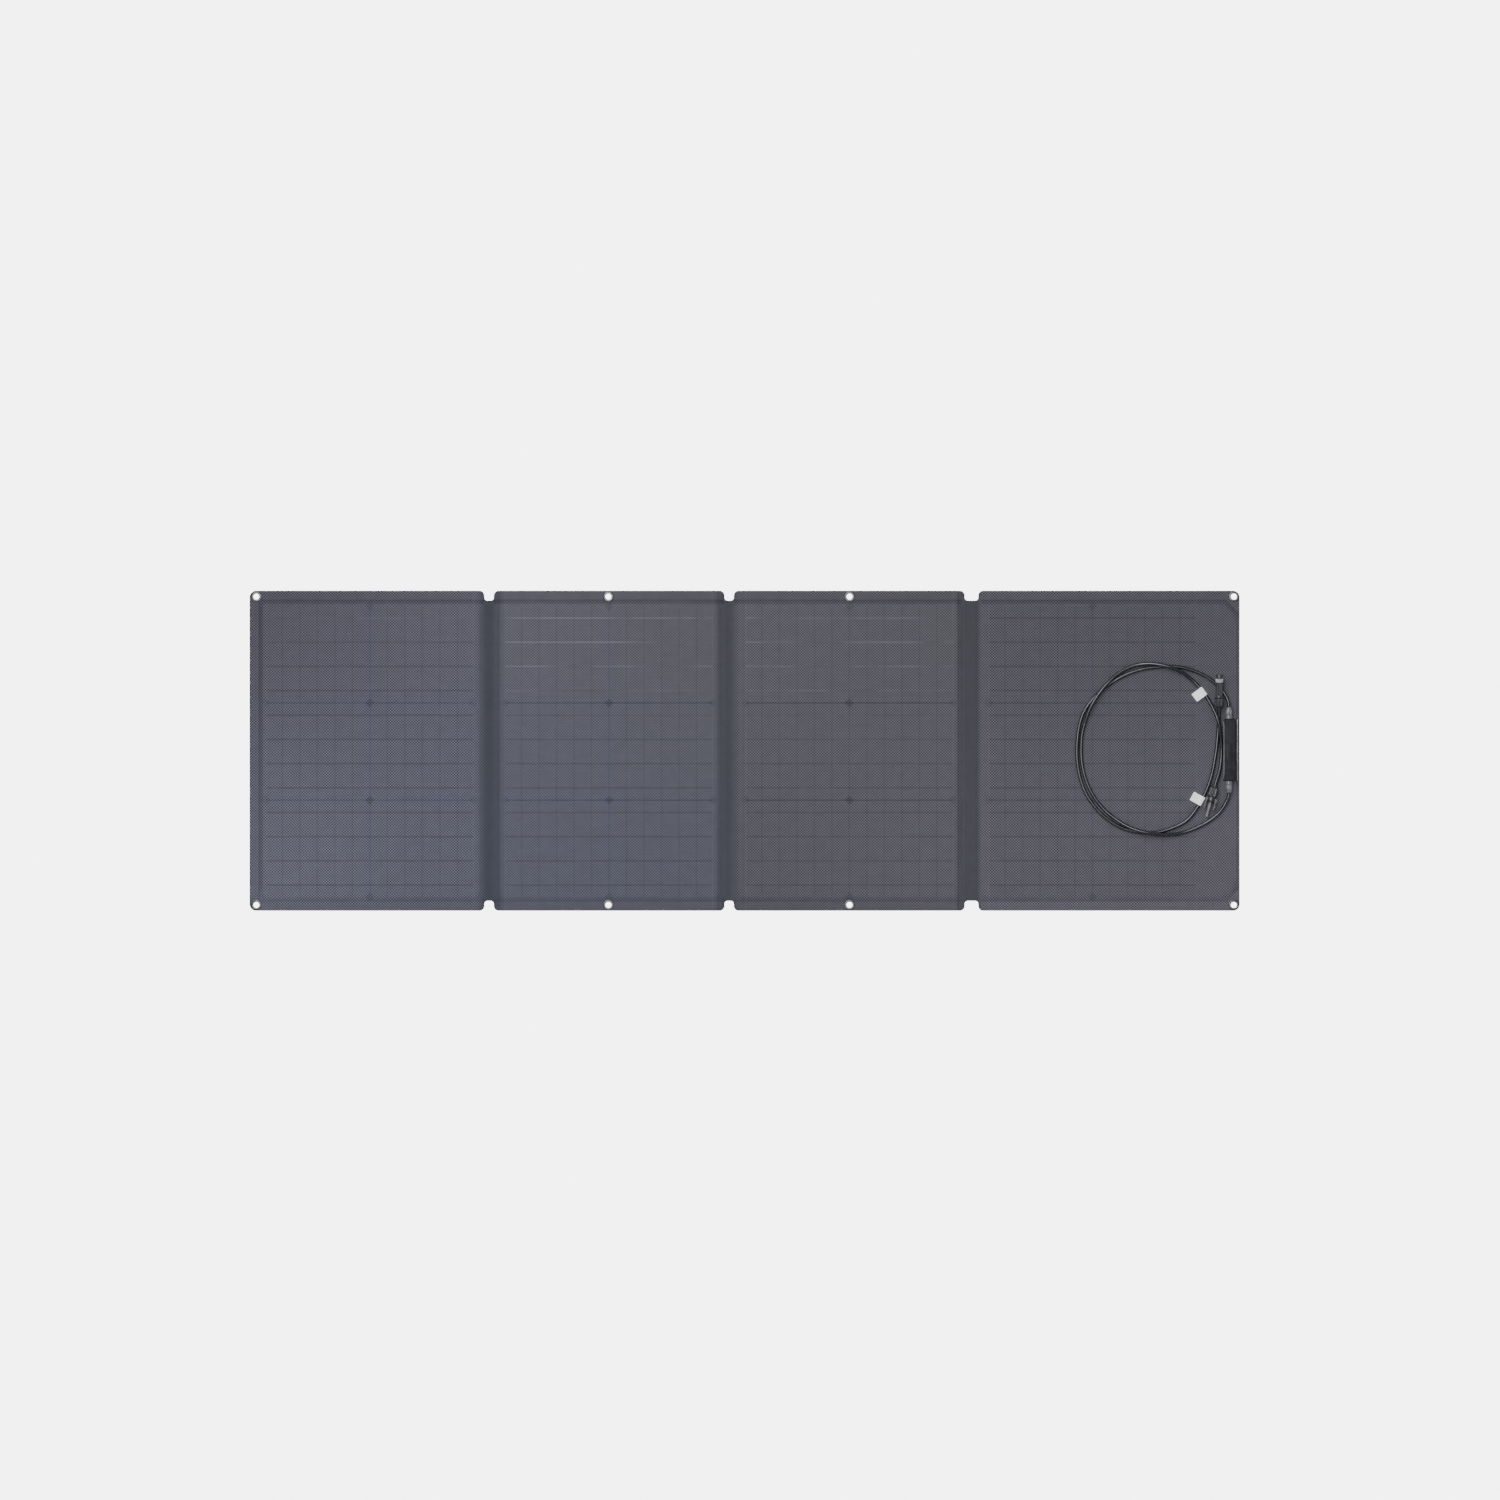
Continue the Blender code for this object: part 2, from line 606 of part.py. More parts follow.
def notch_root(x0, x1, sign):
    """Concave end of a fold strip, from its right edge to its left."""
    radius = min(NOTCH_ROOT_RADIUS, (x1 - x0) / 2)
    root = HALF_HEIGHT - NOTCH_DEPTH
    angles = [NOTCH_ROOT_ANGLE * (1 - i / (NOTCH_ROOT_STEPS - 1)) for i in range(NOTCH_ROOT_STEPS)]
    offsets = [(radius - radius * math.sin(a), root + radius - radius * math.cos(a)) for a in angles]
    right = [(x1 - inset, y) for inset, y in offsets]
    left = [(x0 + inset, y) for inset, y in reversed(offsets)]
    if abs(right[-1][0] - left[0][0]) < 1e-6:
        left = left[1:]
    points = [(x1, right[0][1])] + right + left + [(x0, right[0][1])]
    return [(x, sign * y) for x, y in points]


def build_fold(letter, body):
    x0, x1 = FOLD_SPAN[letter]
    x0, x1 = x0 + FOLD_GAP, x1 - FOLD_GAP
    loop = notch_root(x0, x1, 1) + list(reversed(notch_root(x0, x1, -1)))
    film = plate(f"fold_film_{letter}", loop, FILM_BORDER_BASE, FILM_THICKNESS)
    fabric = plate(f"fold_fabric_{letter}", loop, FOLD_FABRIC_BASE, FOLD_FABRIC_THICKNESS)
    half = JUMPER_HEIGHT / 2
    jumper_loop = [
        (x1, JUMPER_CENTRE_Y - half), (x1, JUMPER_CENTRE_Y + half),
        (x0, JUMPER_CENTRE_Y + half), (x0, JUMPER_CENTRE_Y - half),
    ]
    jumper = plate(f"fold_jumper_{letter}", jumper_loop, JUMPER_BASE, JUMPER_THICKNESS)
    finish(film, body, (0.085, 0.09, 0.11), 0.45)
    finish(fabric, body, (0.03, 0.03, 0.034), 0.85)
    finish(jumper, body, (0.70, 0.55, 0.40), 0.35, 1.0)


def build_junction_box(body):
    flange = box(
        "junction_box_base", (BOX_X, BOX_Y, BOX_BASE_Z + BOX_FLANGE_THICKNESS / 2),
        (BOX_FLANGE_WIDTH, BOX_LENGTH, BOX_FLANGE_THICKNESS),
    )
    housing_height = BOX_HOUSING_TOP - BOX_BASE_Z
    housing_length = BOX_LENGTH - 2 * HOUSING_END_INSET
    housing = box(
        "housing_block", (BOX_HOUSING_X, BOX_Y, BOX_BASE_Z + housing_height / 2),
        (BOX_HOUSING_WIDTH, housing_length, housing_height),
    )
    cavity_base = BOX_BASE_Z + BOX_FLOOR
    cavity = box(
        "housing_cavity", (BOX_HOUSING_X, BOX_Y, cavity_base + 0.01),
        (BOX_HOUSING_WIDTH - 2 * BOX_WALL, housing_length - 2 * BOX_WALL, 0.02),
    )
    cable_bore = cylinder(
        "cable_bore", CABLE_BORE_RADIUS, BOX_LENGTH + 0.02, (GLAND_X, BOX_Y, GLAND_Z), (0.0, 1.0, 0.0), 24,
    )
    boolean(flange, housing, "UNION")
    boolean(flange, cavity, "DIFFERENCE")
    boolean(flange, cable_bore, "DIFFERENCE")
    finish(flange, body, BLACK_PLASTIC, 0.5)

    gasket_width = BOX_HOUSING_WIDTH - 2 * GASKET_INSET
    gasket_length = BOX_LENGTH - 2 * GASKET_END_INSET
    gasket = box(
        "junction_box_gasket", (BOX_HOUSING_X, BOX_Y, BOX_HOUSING_TOP + LAYER_GAP + GASKET_THICKNESS / 2),
        (gasket_width, gasket_length, GASKET_THICKNESS),
    )
    gasket_void = box(
        "gasket_void", (BOX_HOUSING_X, BOX_Y, BOX_HOUSING_TOP),
        (gasket_width - 2 * GASKET_WIDTH, gasket_length - 2 * GASKET_WIDTH, 0.01),
    )
    boolean(gasket, gasket_void, "DIFFERENCE")
    finish(gasket, body, (0.015, 0.015, 0.015), 0.9)

    lid = box(
        "junction_box_lid", (BOX_HOUSING_X, BOX_Y, LID_BASE + LID_THICKNESS / 2),
        (BOX_HOUSING_WIDTH, housing_length, LID_THICKNESS), LID_BEVEL, 3,
    )
    finish(lid, body, BLACK_PLASTIC, 0.45, smooth=True)

    build_diode(body)
    terminal_base = cavity_base + LAYER_GAP
    for tag, y in (("plus", BOX_Y + TERMINAL_OFFSET), ("minus", BOX_Y - TERMINAL_OFFSET)):
        terminal = box(
            f"terminal_{tag}", (TERMINAL_X, y, terminal_base + TERMINAL_SIZE[2] / 2),
            TERMINAL_SIZE, TERMINAL_BEVEL, 1,
        )
        wire_bore = cylinder(
            f"wire_bore_{tag}", WIRE_BORE_RADIUS, 0.02, (GLAND_X, y, cavity_base + WIRE_BORE_HEIGHT),
            (0.0, 1.0, 0.0), 20,
        )
        boolean(terminal, wire_bore, "DIFFERENCE")
        finish(terminal, body, (0.75, 0.58, 0.28), 0.35, 1.0)

    for tag, sign in (("upper", 1.0), ("lower", -1.0)):
        start = BOX_Y + sign * (BOX_LENGTH / 2 + GLAND_GAP)
        frame = axis_frame((GLAND_X, start, GLAND_Z), (0.0, sign, 0.0))
        gland = lathe(f"gland_nut_{tag}", GLAND_PROFILE, frame)
        finish(gland, body, (0.045, 0.045, 0.05), 0.4, smooth=True)


def build_diode(body):
    """Axial diode whose wire ends are closed to a point on the axis."""
    diode = lathe(
        "bypass_diode", DIODE_PROFILE, axis_frame((DIODE_X, BOX_Y, DIODE_Z), (0.0, 1.0, 0.0)), DIODE_STEPS,
    )
    bm = bmesh.new()
    bm.from_mesh(diode.data)
    ends = [v for v in bm.verts if math.hypot(v.co.x - DIODE_X, v.co.z - DIODE_Z) < DIODE_END_RADIUS]
    bmesh.ops.remove_doubles(bm, verts=ends, dist=0.0003)
    bm.to_mesh(diode.data)
    bm.free()
    finish(diode, body, (0.02, 0.02, 0.02), 0.4, smooth=True)


def smooth_route(points):
    """Dense samples of a Catmull-Rom curve through the route points."""
    points = [Vector(p) for p in points]
    padded = [2 * points[0] - points[1]] + points + [2 * points[-1] - points[-2]]
    samples = []
    for a, b, c, d in zip(padded, padded[1:], padded[2:], padded[3:]):
        t0 = 0.0
        t1 = t0 + math.sqrt((b - a).length)
        t2 = t1 + math.sqrt((c - b).length)
        t3 = t2 + math.sqrt((d - c).length)
        for step in range(24):
            t = t1 + (t2 - t1) * step / 24
            ab = a * ((t1 - t) / (t1 - t0)) + b * ((t - t0) / (t1 - t0))
            bc = b * ((t2 - t) / (t2 - t1)) + c * ((t - t1) / (t2 - t1))
            cd = c * ((t3 - t) / (t3 - t2)) + d * ((t - t2) / (t3 - t2))
            abc = ab * ((t2 - t) / (t2 - t0)) + bc * ((t - t0) / (t2 - t0))
            bcd = bc * ((t3 - t) / (t3 - t1)) + cd * ((t - t1) / (t3 - t1))
            samples.append(abc * ((t2 - t) / (t2 - t1)) + bcd * ((t - t1) / (t2 - t1)))
    samples.append(points[-1])
    return samples


def even_samples(samples, spacing):
    lengths = [0.0]
    for a, b in zip(samples, samples[1:]):
        lengths.append(lengths[-1] + (b - a).length)
    count = max(2, round(lengths[-1] / spacing))
    result = []
    j = 0
    for i in range(count + 1):
        target = lengths[-1] * i / count
        while j < len(samples) - 2 and lengths[j + 1] < target:
            j += 1
        span = lengths[j + 1] - lengths[j]
        share = (target - lengths[j]) / span if span else 0.0
        result.append(samples[j].lerp(samples[j + 1], share))
    return result


def cable_points(route, gland_sign, plug_rear, plug_axis):
    """Route with straight ends inside the gland's bore and inside the plug's bore."""
    exit_y = BOX_Y + gland_sign * (BOX_LENGTH / 2 + GLAND_GAP + GLAND_LENGTH)
    start = [
        (GLAND_X, exit_y - gland_sign * CABLE_INSERTION, GLAND_Z),
        (GLAND_X, exit_y, GLAND_Z),
        (GLAND_X - 0.0001, exit_y + gland_sign * CABLE_LEAD_OUT, GLAND_Z - 0.0001),
    ]
    axis = Vector(plug_axis).normalized()
    rear = Vector(plug_rear)
    end = [tuple(rear - axis * CABLE_LEAD_OUT), tuple(rear), tuple(rear + axis * CABLE_INSERTION)]
    return start + list(route) + end


def build_cable(name, points, body):
    curve = bpy.data.curves.new(name, "CURVE")
    curve.dimensions = "3D"
    curve.bevel_depth = CABLE_RADIUS
    curve.bevel_resolution = CABLE_BEVEL_SEGMENTS
    curve.use_fill_caps = True
    samples = even_samples(smooth_route(points), CABLE_SAMPLE)
    spline = curve.splines.new("POLY")
    spline.points.add(len(samples) - 1)
    for point, sample in zip(spline.points, samples):
        point.co = (*sample, 1.0)
    obj = bpy.data.objects.new(name, curve)
    bpy.context.collection.objects.link(obj)
    finish(obj, body, (0.012, 0.012, 0.013), 0.35)
    return samples


def build_label(name, samples, near, body):
    """Flag label: a strip folded round the cable with both ends laid together towards the loop's middle."""
    target = Vector(near)
    index = min(range(1, len(samples) - 1), key=lambda i: (samples[i].xy - target).length)
    origin = samples[index]
    along = (samples[index + 1] - samples[index - 1]).normalized()
    inward = Vector((*CABLE_LOOP_CENTRE, origin.z)) - origin
    inward = (inward - along * inward.dot(along)).normalized()
    lift = along.cross(inward).normalized()
    if lift.z < 0:
        lift.negate()
    half_gap = LABEL_LAYER_GAP / 2
    start_angle = math.asin((half_gap + LABEL_THICKNESS / 2) / LABEL_LOOP_RADIUS)
    path = [(LABEL_LOOP_RADIUS + LABEL_TAIL - LABEL_SEAT, half_gap + LABEL_THICKNESS / 2)]
    for step in range(LABEL_LOOP_STEPS + 1):
        angle = start_angle + (2 * math.pi - 2 * start_angle) * step / LABEL_LOOP_STEPS
        path.append((LABEL_LOOP_RADIUS * math.cos(angle), LABEL_LOOP_RADIUS * math.sin(angle)))
    path.append((path[0][0], -path[0][1]))
    outer, inner = [], []
    for i, (u, v) in enumerate(path):
        before = path[max(i - 1, 0)]
        after = path[min(i + 1, len(path) - 1)]
        du, dv = after[0] - before[0], after[1] - before[1]
        length = math.hypot(du, dv)
        if i in (1, len(path) - 2):
            nu, nv = 0.0, (1.0 if i == 1 else -1.0)
        else:
            nu, nv = dv / length, -du / length
        if i in (0, len(path) - 1):
            nu, nv = 0.0, (1.0 if i == 0 else -1.0)
        half = LABEL_THICKNESS / 2
        outer.append((u + nu * half, v + nv * half))
        inner.append((u - nu * half, v - nv * half))
    section = outer + list(reversed(inner))
    bm = bmesh.new()
    ends = []
    for shift in (-LABEL_LENGTH / 2, LABEL_LENGTH / 2):
        ends.append([bm.verts.new(origin + along * shift + inward * u + lift * v) for u, v in section])
    count = len(section)
    for i in range(count):
        j = (i + 1) % count
        bm.faces.new((ends[0][i], ends[0][j], ends[1][j], ends[1][i]))
    for ring in ends:
        half_count = count // 2
        for i in range(half_count - 1):
            bm.faces.new((ring[i], ring[i + 1], ring[count - 2 - i], ring[count - 1 - i]))
    label = object_from_bmesh(name, bm)
    finish(label, body, (0.85, 0.85, 0.84), 0.6)


def plug_nut(name, frame, length, body):
    profile = [
        (CABLE_BORE_RADIUS, 0.0),
        (CABLE_BORE_RADIUS + 0.0008, 0.0),
        (CABLE_BORE_RADIUS + 0.0014, 0.0022),
        (PLUG_NUT_RADIUS - 0.0012, 0.0030),
        (PLUG_NUT_RADIUS, 0.0045),
        (PLUG_NUT_RADIUS, length - 0.0008),
        (PLUG_NUT_RADIUS - 0.0006, length),
        (CABLE_BORE_RADIUS, length),
    ]
    flute_range = (0.004, length - 0.0005, PLUG_NUT_RADIUS - 0.0002)
    nut = lathe(name, profile, frame, 4 * PLUG_NUT_FLUTES, PLUG_NUT_FLUTES, flute_range)
    finish(nut, body, (0.030, 0.030, 0.033), 0.42, smooth=True)


def build_plug_1(body):
    """Plug with two latch arms beside a round contact tube."""
    frame = axis_frame(PLUG_1_REAR, PLUG_1_AXIS)
    plug_nut("plug_1_nut", frame, PLUG_1_NUT_LENGTH, body)
    neck = lathe("plug_1_body", PLUG_1_NECK_PROFILE, frame)
    bm = bmesh.new()
    for sign in (1.0, -1.0):
        sides = []
        for height in (-PLUG_1_ARM_HALF_HEIGHT, PLUG_1_ARM_HALF_HEIGHT):
            sides.append([bm.verts.new((sign * u, height, v)) for u, v in PLUG_1_ARM_OUTLINE])
        count = len(PLUG_1_ARM_OUTLINE)
        for i in range(count):
            j = (i + 1) % count
            bm.faces.new((sides[0][i], sides[0][j], sides[1][j], sides[1][i]))
        bm.faces.new(sides[0])
        bm.faces.new(sides[1])
    bmesh.ops.transform(bm, matrix=frame, verts=bm.verts)
    arms = object_from_bmesh("latch_arms", bm)
    boolean(neck, arms, "UNION")
    finish(neck, body, (0.026, 0.026, 0.029), 0.4)
    contact = lathe("plug_1_contact", PLUG_1_CONTACT_PROFILE, frame)
    finish(contact, body, (0.16, 0.16, 0.17), 0.35, smooth=True)


def build_plug_2(body):
    """Plug with a long round socket body and a pale seal ring near its mouth."""
    axis = (0.0, math.cos(PLUG_2_TILT), math.sin(PLUG_2_TILT))
    frame = axis_frame(PLUG_2_REAR, axis)
    plug_nut("plug_2_nut", frame, PLUG_2_NUT_LENGTH, body)
    shell = lathe("plug_2_body", PLUG_2_SHELL_PROFILE, frame)
    finish(shell, body, (0.030, 0.030, 0.033), 0.4, smooth=True)
    ring = lathe("plug_2_seal", PLUG_2_SEAL_PROFILE, frame)
    finish(ring, body, (0.42, 0.42, 0.43), 0.45, smooth=True)
    contact = lathe("plug_2_contact", PLUG_2_CONTACT_PROFILE, frame)
    finish(contact, body, (0.75, 0.75, 0.74), 0.25, 1.0, smooth=True)


def build_leads(body):
    points = cable_points(ROUTE_1, -1.0, PLUG_1_REAR, PLUG_1_AXIS)
    samples = build_cable("cable_1", points, body)
    build_label("cable_label_1", samples, LABEL_1_POINT, body)
    build_plug_1(body)
    axis = (0.0, math.cos(PLUG_2_TILT), math.sin(PLUG_2_TILT))
    points = cable_points(ROUTE_2, 1.0, PLUG_2_REAR, axis)
    samples = build_cable("cable_2", points, body)
    build_label("cable_label_2", samples, LABEL_2_POINT, body)
    build_plug_2(body)


def fold_axes(letter):
    """X of the two turning axes of a fold: the one on the junction-box side, then the other."""
    x0, x1 = FOLD_SPAN[letter]
    middle = (x0 + x1) / 2
    half = FOLD_AXIS_SPACING[letter] / 2
    return middle + half, middle - half


def main():
    clear_scene()
    leaf_body = make_body("body_leaf_4", (0.0, 0.0, 0.0))
    build_leaf(3, leaf_body)
    build_junction_box(leaf_body)
    build_leads(leaf_body)
    for letter, index in (("c", 2), ("b", 1), ("a", 0)):
        near, far = fold_axes(letter)
        spine = make_body(f"body_spine_{letter}", (near, 0.0, FOLD_AXIS_Z), leaf_body)
        build_fold(letter, spine)
        leaf_body = make_body(f"body_leaf_{index + 1}", (far, 0.0, FOLD_AXIS_Z), spine)
        build_leaf(index, leaf_body)


main()
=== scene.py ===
"""Looks of the folding solar sheet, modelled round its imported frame.

The sheet lies open on z = 0 with X along its length and Y along its height, in metres. Each film and
fabric piece carries a UV map that holds its resting X and Y in metres, so every pattern is worked out in
real size and moves with the cloth when a fold turns.
"""

import json
import math

import bmesh
import bpy
import numpy as np
from mathutils import Matrix, Vector


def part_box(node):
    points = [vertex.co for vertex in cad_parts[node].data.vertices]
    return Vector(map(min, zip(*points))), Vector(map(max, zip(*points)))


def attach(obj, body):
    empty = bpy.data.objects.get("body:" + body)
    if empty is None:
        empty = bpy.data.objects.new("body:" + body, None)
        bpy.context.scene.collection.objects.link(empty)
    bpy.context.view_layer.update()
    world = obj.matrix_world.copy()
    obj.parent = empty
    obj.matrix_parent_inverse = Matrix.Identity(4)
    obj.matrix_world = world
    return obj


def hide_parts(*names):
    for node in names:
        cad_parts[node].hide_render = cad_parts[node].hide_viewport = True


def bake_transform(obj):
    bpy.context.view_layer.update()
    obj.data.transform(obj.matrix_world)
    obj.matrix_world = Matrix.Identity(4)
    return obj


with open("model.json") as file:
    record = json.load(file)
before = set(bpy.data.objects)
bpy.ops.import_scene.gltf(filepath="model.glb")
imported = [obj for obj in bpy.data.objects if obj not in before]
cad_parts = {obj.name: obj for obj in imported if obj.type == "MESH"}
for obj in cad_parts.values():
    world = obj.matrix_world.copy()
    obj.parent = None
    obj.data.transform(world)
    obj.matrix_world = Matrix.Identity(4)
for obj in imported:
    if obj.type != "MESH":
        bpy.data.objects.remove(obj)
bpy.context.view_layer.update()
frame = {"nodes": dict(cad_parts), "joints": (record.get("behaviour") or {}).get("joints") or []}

# Camera and light
CAMERA_POINT = (0.0087, 0.0012)
CAMERA_DISTANCE = 10.0
FIELD_WIDTH = 2.427
SENSOR_WIDTH = 36.0
FLOOR_SIZE = 80.0
FLOOR_LEVEL = -0.0004
FLOOR_GLOW = 6.0
GLOW_SHARE = 0.96
SKY_STRENGTH = 0.30
LAMPS = (("key", (-1.0, 2.5, 3.6), 2.2, 82.0), ("top", (-0.15, 0.25, 4.2), 1.8, 70.0))

# The sheet, read from the frame
LEAF_BODIES = ("leaf_1", "leaf_2", "leaf_3", "leaf_4")
FOLD_LETTERS = ("a", "b", "c")
LEAF_EXTENTS = [[corner.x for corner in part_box(f"front_film_{number}")] for number in (1, 2, 3, 4)]
START, END = LEAF_EXTENTS[0][0], LEAF_EXTENTS[-1][1]
HALF_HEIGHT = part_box("front_film_1")[1].y
FOLD_SPANS = {
    letter: (before[1], after[0])
    for letter, before, after in zip(FOLD_LETTERS, LEAF_EXTENTS, LEAF_EXTENTS[1:])
}
JOINT_X = {joint["name"]: joint["pos_m"][0] for joint in frame["joints"]}
EYELETS = [(f"{side}_{number}", number - 1) for side in ("top", "bottom") for number in (1, 2, 3, 4)]
EYELET_CENTRES = [sum(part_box(f"eyelet_{tag}"), Vector()) / 2 for tag, _ in EYELETS]
EYELET_BORE_RADIUS = 0.0047
HOLE_RADIUS = 0.0055

# Outline and levels
NOTCH_DEPTH = 0.016
NOTCH_LIP_RADIUS = 0.008
NOTCH_SIDE_INSET = 0.0013
NOTCH_SPANS = [(left + NOTCH_SIDE_INSET, right - NOTCH_SIDE_INSET) for left, right in FOLD_SPANS.values()]
NOTCH_ROOT_RADIUS = 0.0050
OUTER_CORNER_RADIUS = 0.0110
CORE_Y = HALF_HEIGHT - 0.030
BORDER_TOP_INSET = 0.0228
FOLD_TOP_INSET = 0.0094
BOX_SIDE_TOP_INSET = 0.0060
SHOULDER_WIDTH = 0.0074
BOX_SIDE_SLOPE_WIDTH = 0.0030
FOLD_SLOPE_WIDTH = 0.0079
BOX_SIDE_CHAMFER = 0.024
CORE_CORNER_RADIUS = 0.007
FILM_BORDER_Z = 0.00167
FILM_CORE_Z = 0.00285
FILM_THICKNESS = 0.00045
FABRIC_THICKNESS = 0.0005
FABRIC_BORDER_Z = 0.00058
FABRIC_FOLD_Z = 0.0003
GROOVE_INSET = 0.0154
GROOVE_DEPTH = 0.00028
GROOVE_HALF_WIDTH = 0.0008
GROOVE_CHAMFER = 0.036
GROOVE_PAST_END = 0.004
EDGE_ROLL = 0.0005
EDGE_ROLL_DEPTH = 0.0002
BEND_REACH = 0.0040
LINE_RELIEF = 0.00002
FIELD_RELIEF = 0.00006
WAVE_HEIGHTS = (0.00007, 0.00004)
RIPPLE_HEIGHT = 0.0006
EYELET_ROLL = 0.00075

# Sizes of the mesh's steps
FILM_STEP = 0.008
FABRIC_STEP = 0.012
FOLD_STEP = 0.0011
LEAST_GAP = 0.00018
BORDER_INSETS = (
    0.0002, 0.0005, 0.0015, 0.004, 0.007, 0.0105, 0.0135, 0.0143, 0.0149, 0.0154, 0.0159, 0.0165,
    0.0178, 0.0190, 0.0198, 0.0205, 0.0213, 0.0221, 0.0228, 0.0238, 0.026,
)
FABRIC_INSETS = (0.0198, 0.0213, 0.0228)
BOX_SIDE_INSETS = (0.0002, 0.0005, 0.0025, 0.0035, 0.0045, 0.006, 0.0075)
LEAF_END_INSETS = (0.0015, 0.0035, 0.0055, 0.0075, 0.0094, 0.011)

# Cells and their wiring
CELL_FIELD_CENTRES = (-0.6061, -0.2193, 0.1695, 0.5628)
CELL_COLUMN_PITCH = 0.1692
CELL_ROW_PITCH = 0.1573
CELL_WIDTH = 0.1662
CELL_HEIGHT = 0.1553
CELL_SHIFT_Y = -0.0013
CELL_CHAMFER = 0.0072
BUSBAR_PITCH = 0.0391
STRIP_PITCH = 0.0283
FIELD_HALF_WIDTH = CELL_COLUMN_PITCH / 2 + CELL_WIDTH / 2
FIELD_HALF_HEIGHT = CELL_ROW_PITCH + CELL_HEIGHT / 2
LATTICE = (0.0046, 0.0045)
LATTICE_DEPTH = 0.00008

# Colours of each leaf as the light falls in the photograph, each pair from its left to its right end. Border
# is a factor at the lower and at the upper edge. The busbars turn from dark to bright between two heights.
# The busbars' turn from dark to bright is a painted reflection of the light on their ribbons.
FILM_TONES = (
    {
        "lower": ((0.122, 0.123, 0.165), (0.106, 0.107, 0.147)),
        "upper": ((0.084, 0.081, 0.109), (0.099, 0.096, 0.131)),
        "dots": 0.58, "gap": 0.74, "blue": 0.6, "margin": 0.97, "border": (0.91, 0.93),
        "bar_rise": (0.14, 0.24), "bar_range": (0.76, 1.20),
    },
    {
        "lower": ((0.100, 0.101, 0.140), (0.096, 0.096, 0.130)),
        "upper": ((0.103, 0.100, 0.131), (0.093, 0.090, 0.111)),
        "dots": 0.33, "gap": 0.66, "blue": 0.5, "margin": 0.99, "border": (0.90, 0.90),
        "bar_rise": (-0.02, 0.21), "bar_range": (0.77, 1.50),
    },
    {
        "lower": ((0.092, 0.090, 0.112), (0.102, 0.098, 0.121)),
        "upper": ((0.095, 0.092, 0.114), (0.091, 0.090, 0.106)),
        "dots": 0.48, "gap": 0.62, "blue": 0.15, "margin": 0.98, "border": (0.92, 0.90),
        "bar_rise": (-0.08, 0.20), "bar_range": (0.80, 1.36),
    },
    {
        "lower": ((0.103, 0.099, 0.123), (0.112, 0.106, 0.131)),
        "upper": ((0.085, 0.083, 0.100), (0.088, 0.086, 0.103)),
        "dots": 0.60, "gap": 0.70, "blue": 0.4, "margin": 1.02, "border": (1.06, 1.00),
        "bar_rise": (0.30, 0.60), "bar_range": (0.77, 1.0),
    },
)
TONE_HEIGHTS = (-0.20, 0.25)
BORDER_TONE_HEIGHTS = (-0.20, 0.20)
SLOPE_PAINTED_LIGHT_HEIGHTS = (-0.238, -0.222)
BLUE_TINT = (0.95, 0.97, 1.09)
CORNER_TINT = (0.70, 0.77, 0.70)
SHADE_TINT = (0.92, 1.0, 1.02)
# Painted light on the slope along the lower edge, painted shade on the slope elsewhere.
SLOPE_PAINTED_LIGHT = (1.04, 0.87)
# Painted shade in the groove.
GROOVE_PAINTED_SHADE = 0.85
COLUMN_GAP_TONE = 0.985
STRIP_TONE = 0.88
SIDE_EDGE_TONE = 1.09
STREAK_REACH = 0.025
DRIFT_REACH = 0.04
SLOPE_ROUGHNESS = 0.35
LINE_HALF_WIDTH = 0.0006
LINE_SOFTNESS = 0.0012
# Strength of the painted light and shade on the embossed lattice in the folds.
FOLD_DOT_LIGHT_AND_SHADE = 0.50

# Painted shade of each fold, its flanks and its creases, with distances in metres from its left or right
# edge, and its lower and upper tone, painted as the light falls
FOLD_LOOKS = {
    "a": {
        "rise": (-0.0130, 0.0055), "fall": (-0.0085, 0.0225), "depth": 0.49,
        "creases": (("right", 0.0071, 0.12),),
        "tone": ((0.099, 0.106, 0.150), (0.088, 0.093, 0.123)),
    },
    "b": {
        "rise": (-0.0200, 0.0045), "fall": (-0.0090, 0.0100), "depth": 0.42,
        "creases": (("left", -0.0090, 0.13), ("left", 0.0063, 0.06), ("right", 0.0140, 0.05)),
        "tone": ((0.095, 0.100, 0.131), (0.085, 0.087, 0.110)),
    },
    "c": {
        "rise": (-0.0165, 0.0040), "fall": (-0.0040, 0.0050), "depth": 0.37,
        "creases": (("left", -0.0092, 0.30), ("left", 0.0026, 0.04), ("right", -0.0045, 0.05)),
        "tone": ((0.098, 0.099, 0.126), (0.084, 0.086, 0.105)),
    },
}

# Glands, cords and plugs
BOX_Y = 0.0012
BOX_LENGTH = 0.1000
GLAND_X = 0.7826
GLAND_Z = 0.0090
GLAND_GAP = 0.0003
GLAND_LENGTH = 0.0188
CABLE_RADIUS = 0.0028
CABLE_INSERTION = 0.007
CABLE_LEAD_OUT = 0.005
CABLE_SAMPLE = 0.0035
ROUTE_STEPS = 24
CABLE_1_LENGTH = 0.823
CABLE_2_LENGTH = 0.826
LABEL_POINTS = ((0.7416, 0.0946), (0.7377, -0.0820))
CABLE_LOOP_CENTRE = (0.655, 0.002)
PLUG_1_REAR = (0.7602, -0.0565, 0.0103)
PLUG_1_AXIS = (-0.2630, -0.9648, 0.0)
PLUG_2_REAR = (0.7668, 0.0682, 0.0104)
PLUG_2_TILT = math.radians(8.5)
PLUG_2_AXIS = (0.0, math.cos(PLUG_2_TILT), math.sin(PLUG_2_TILT))

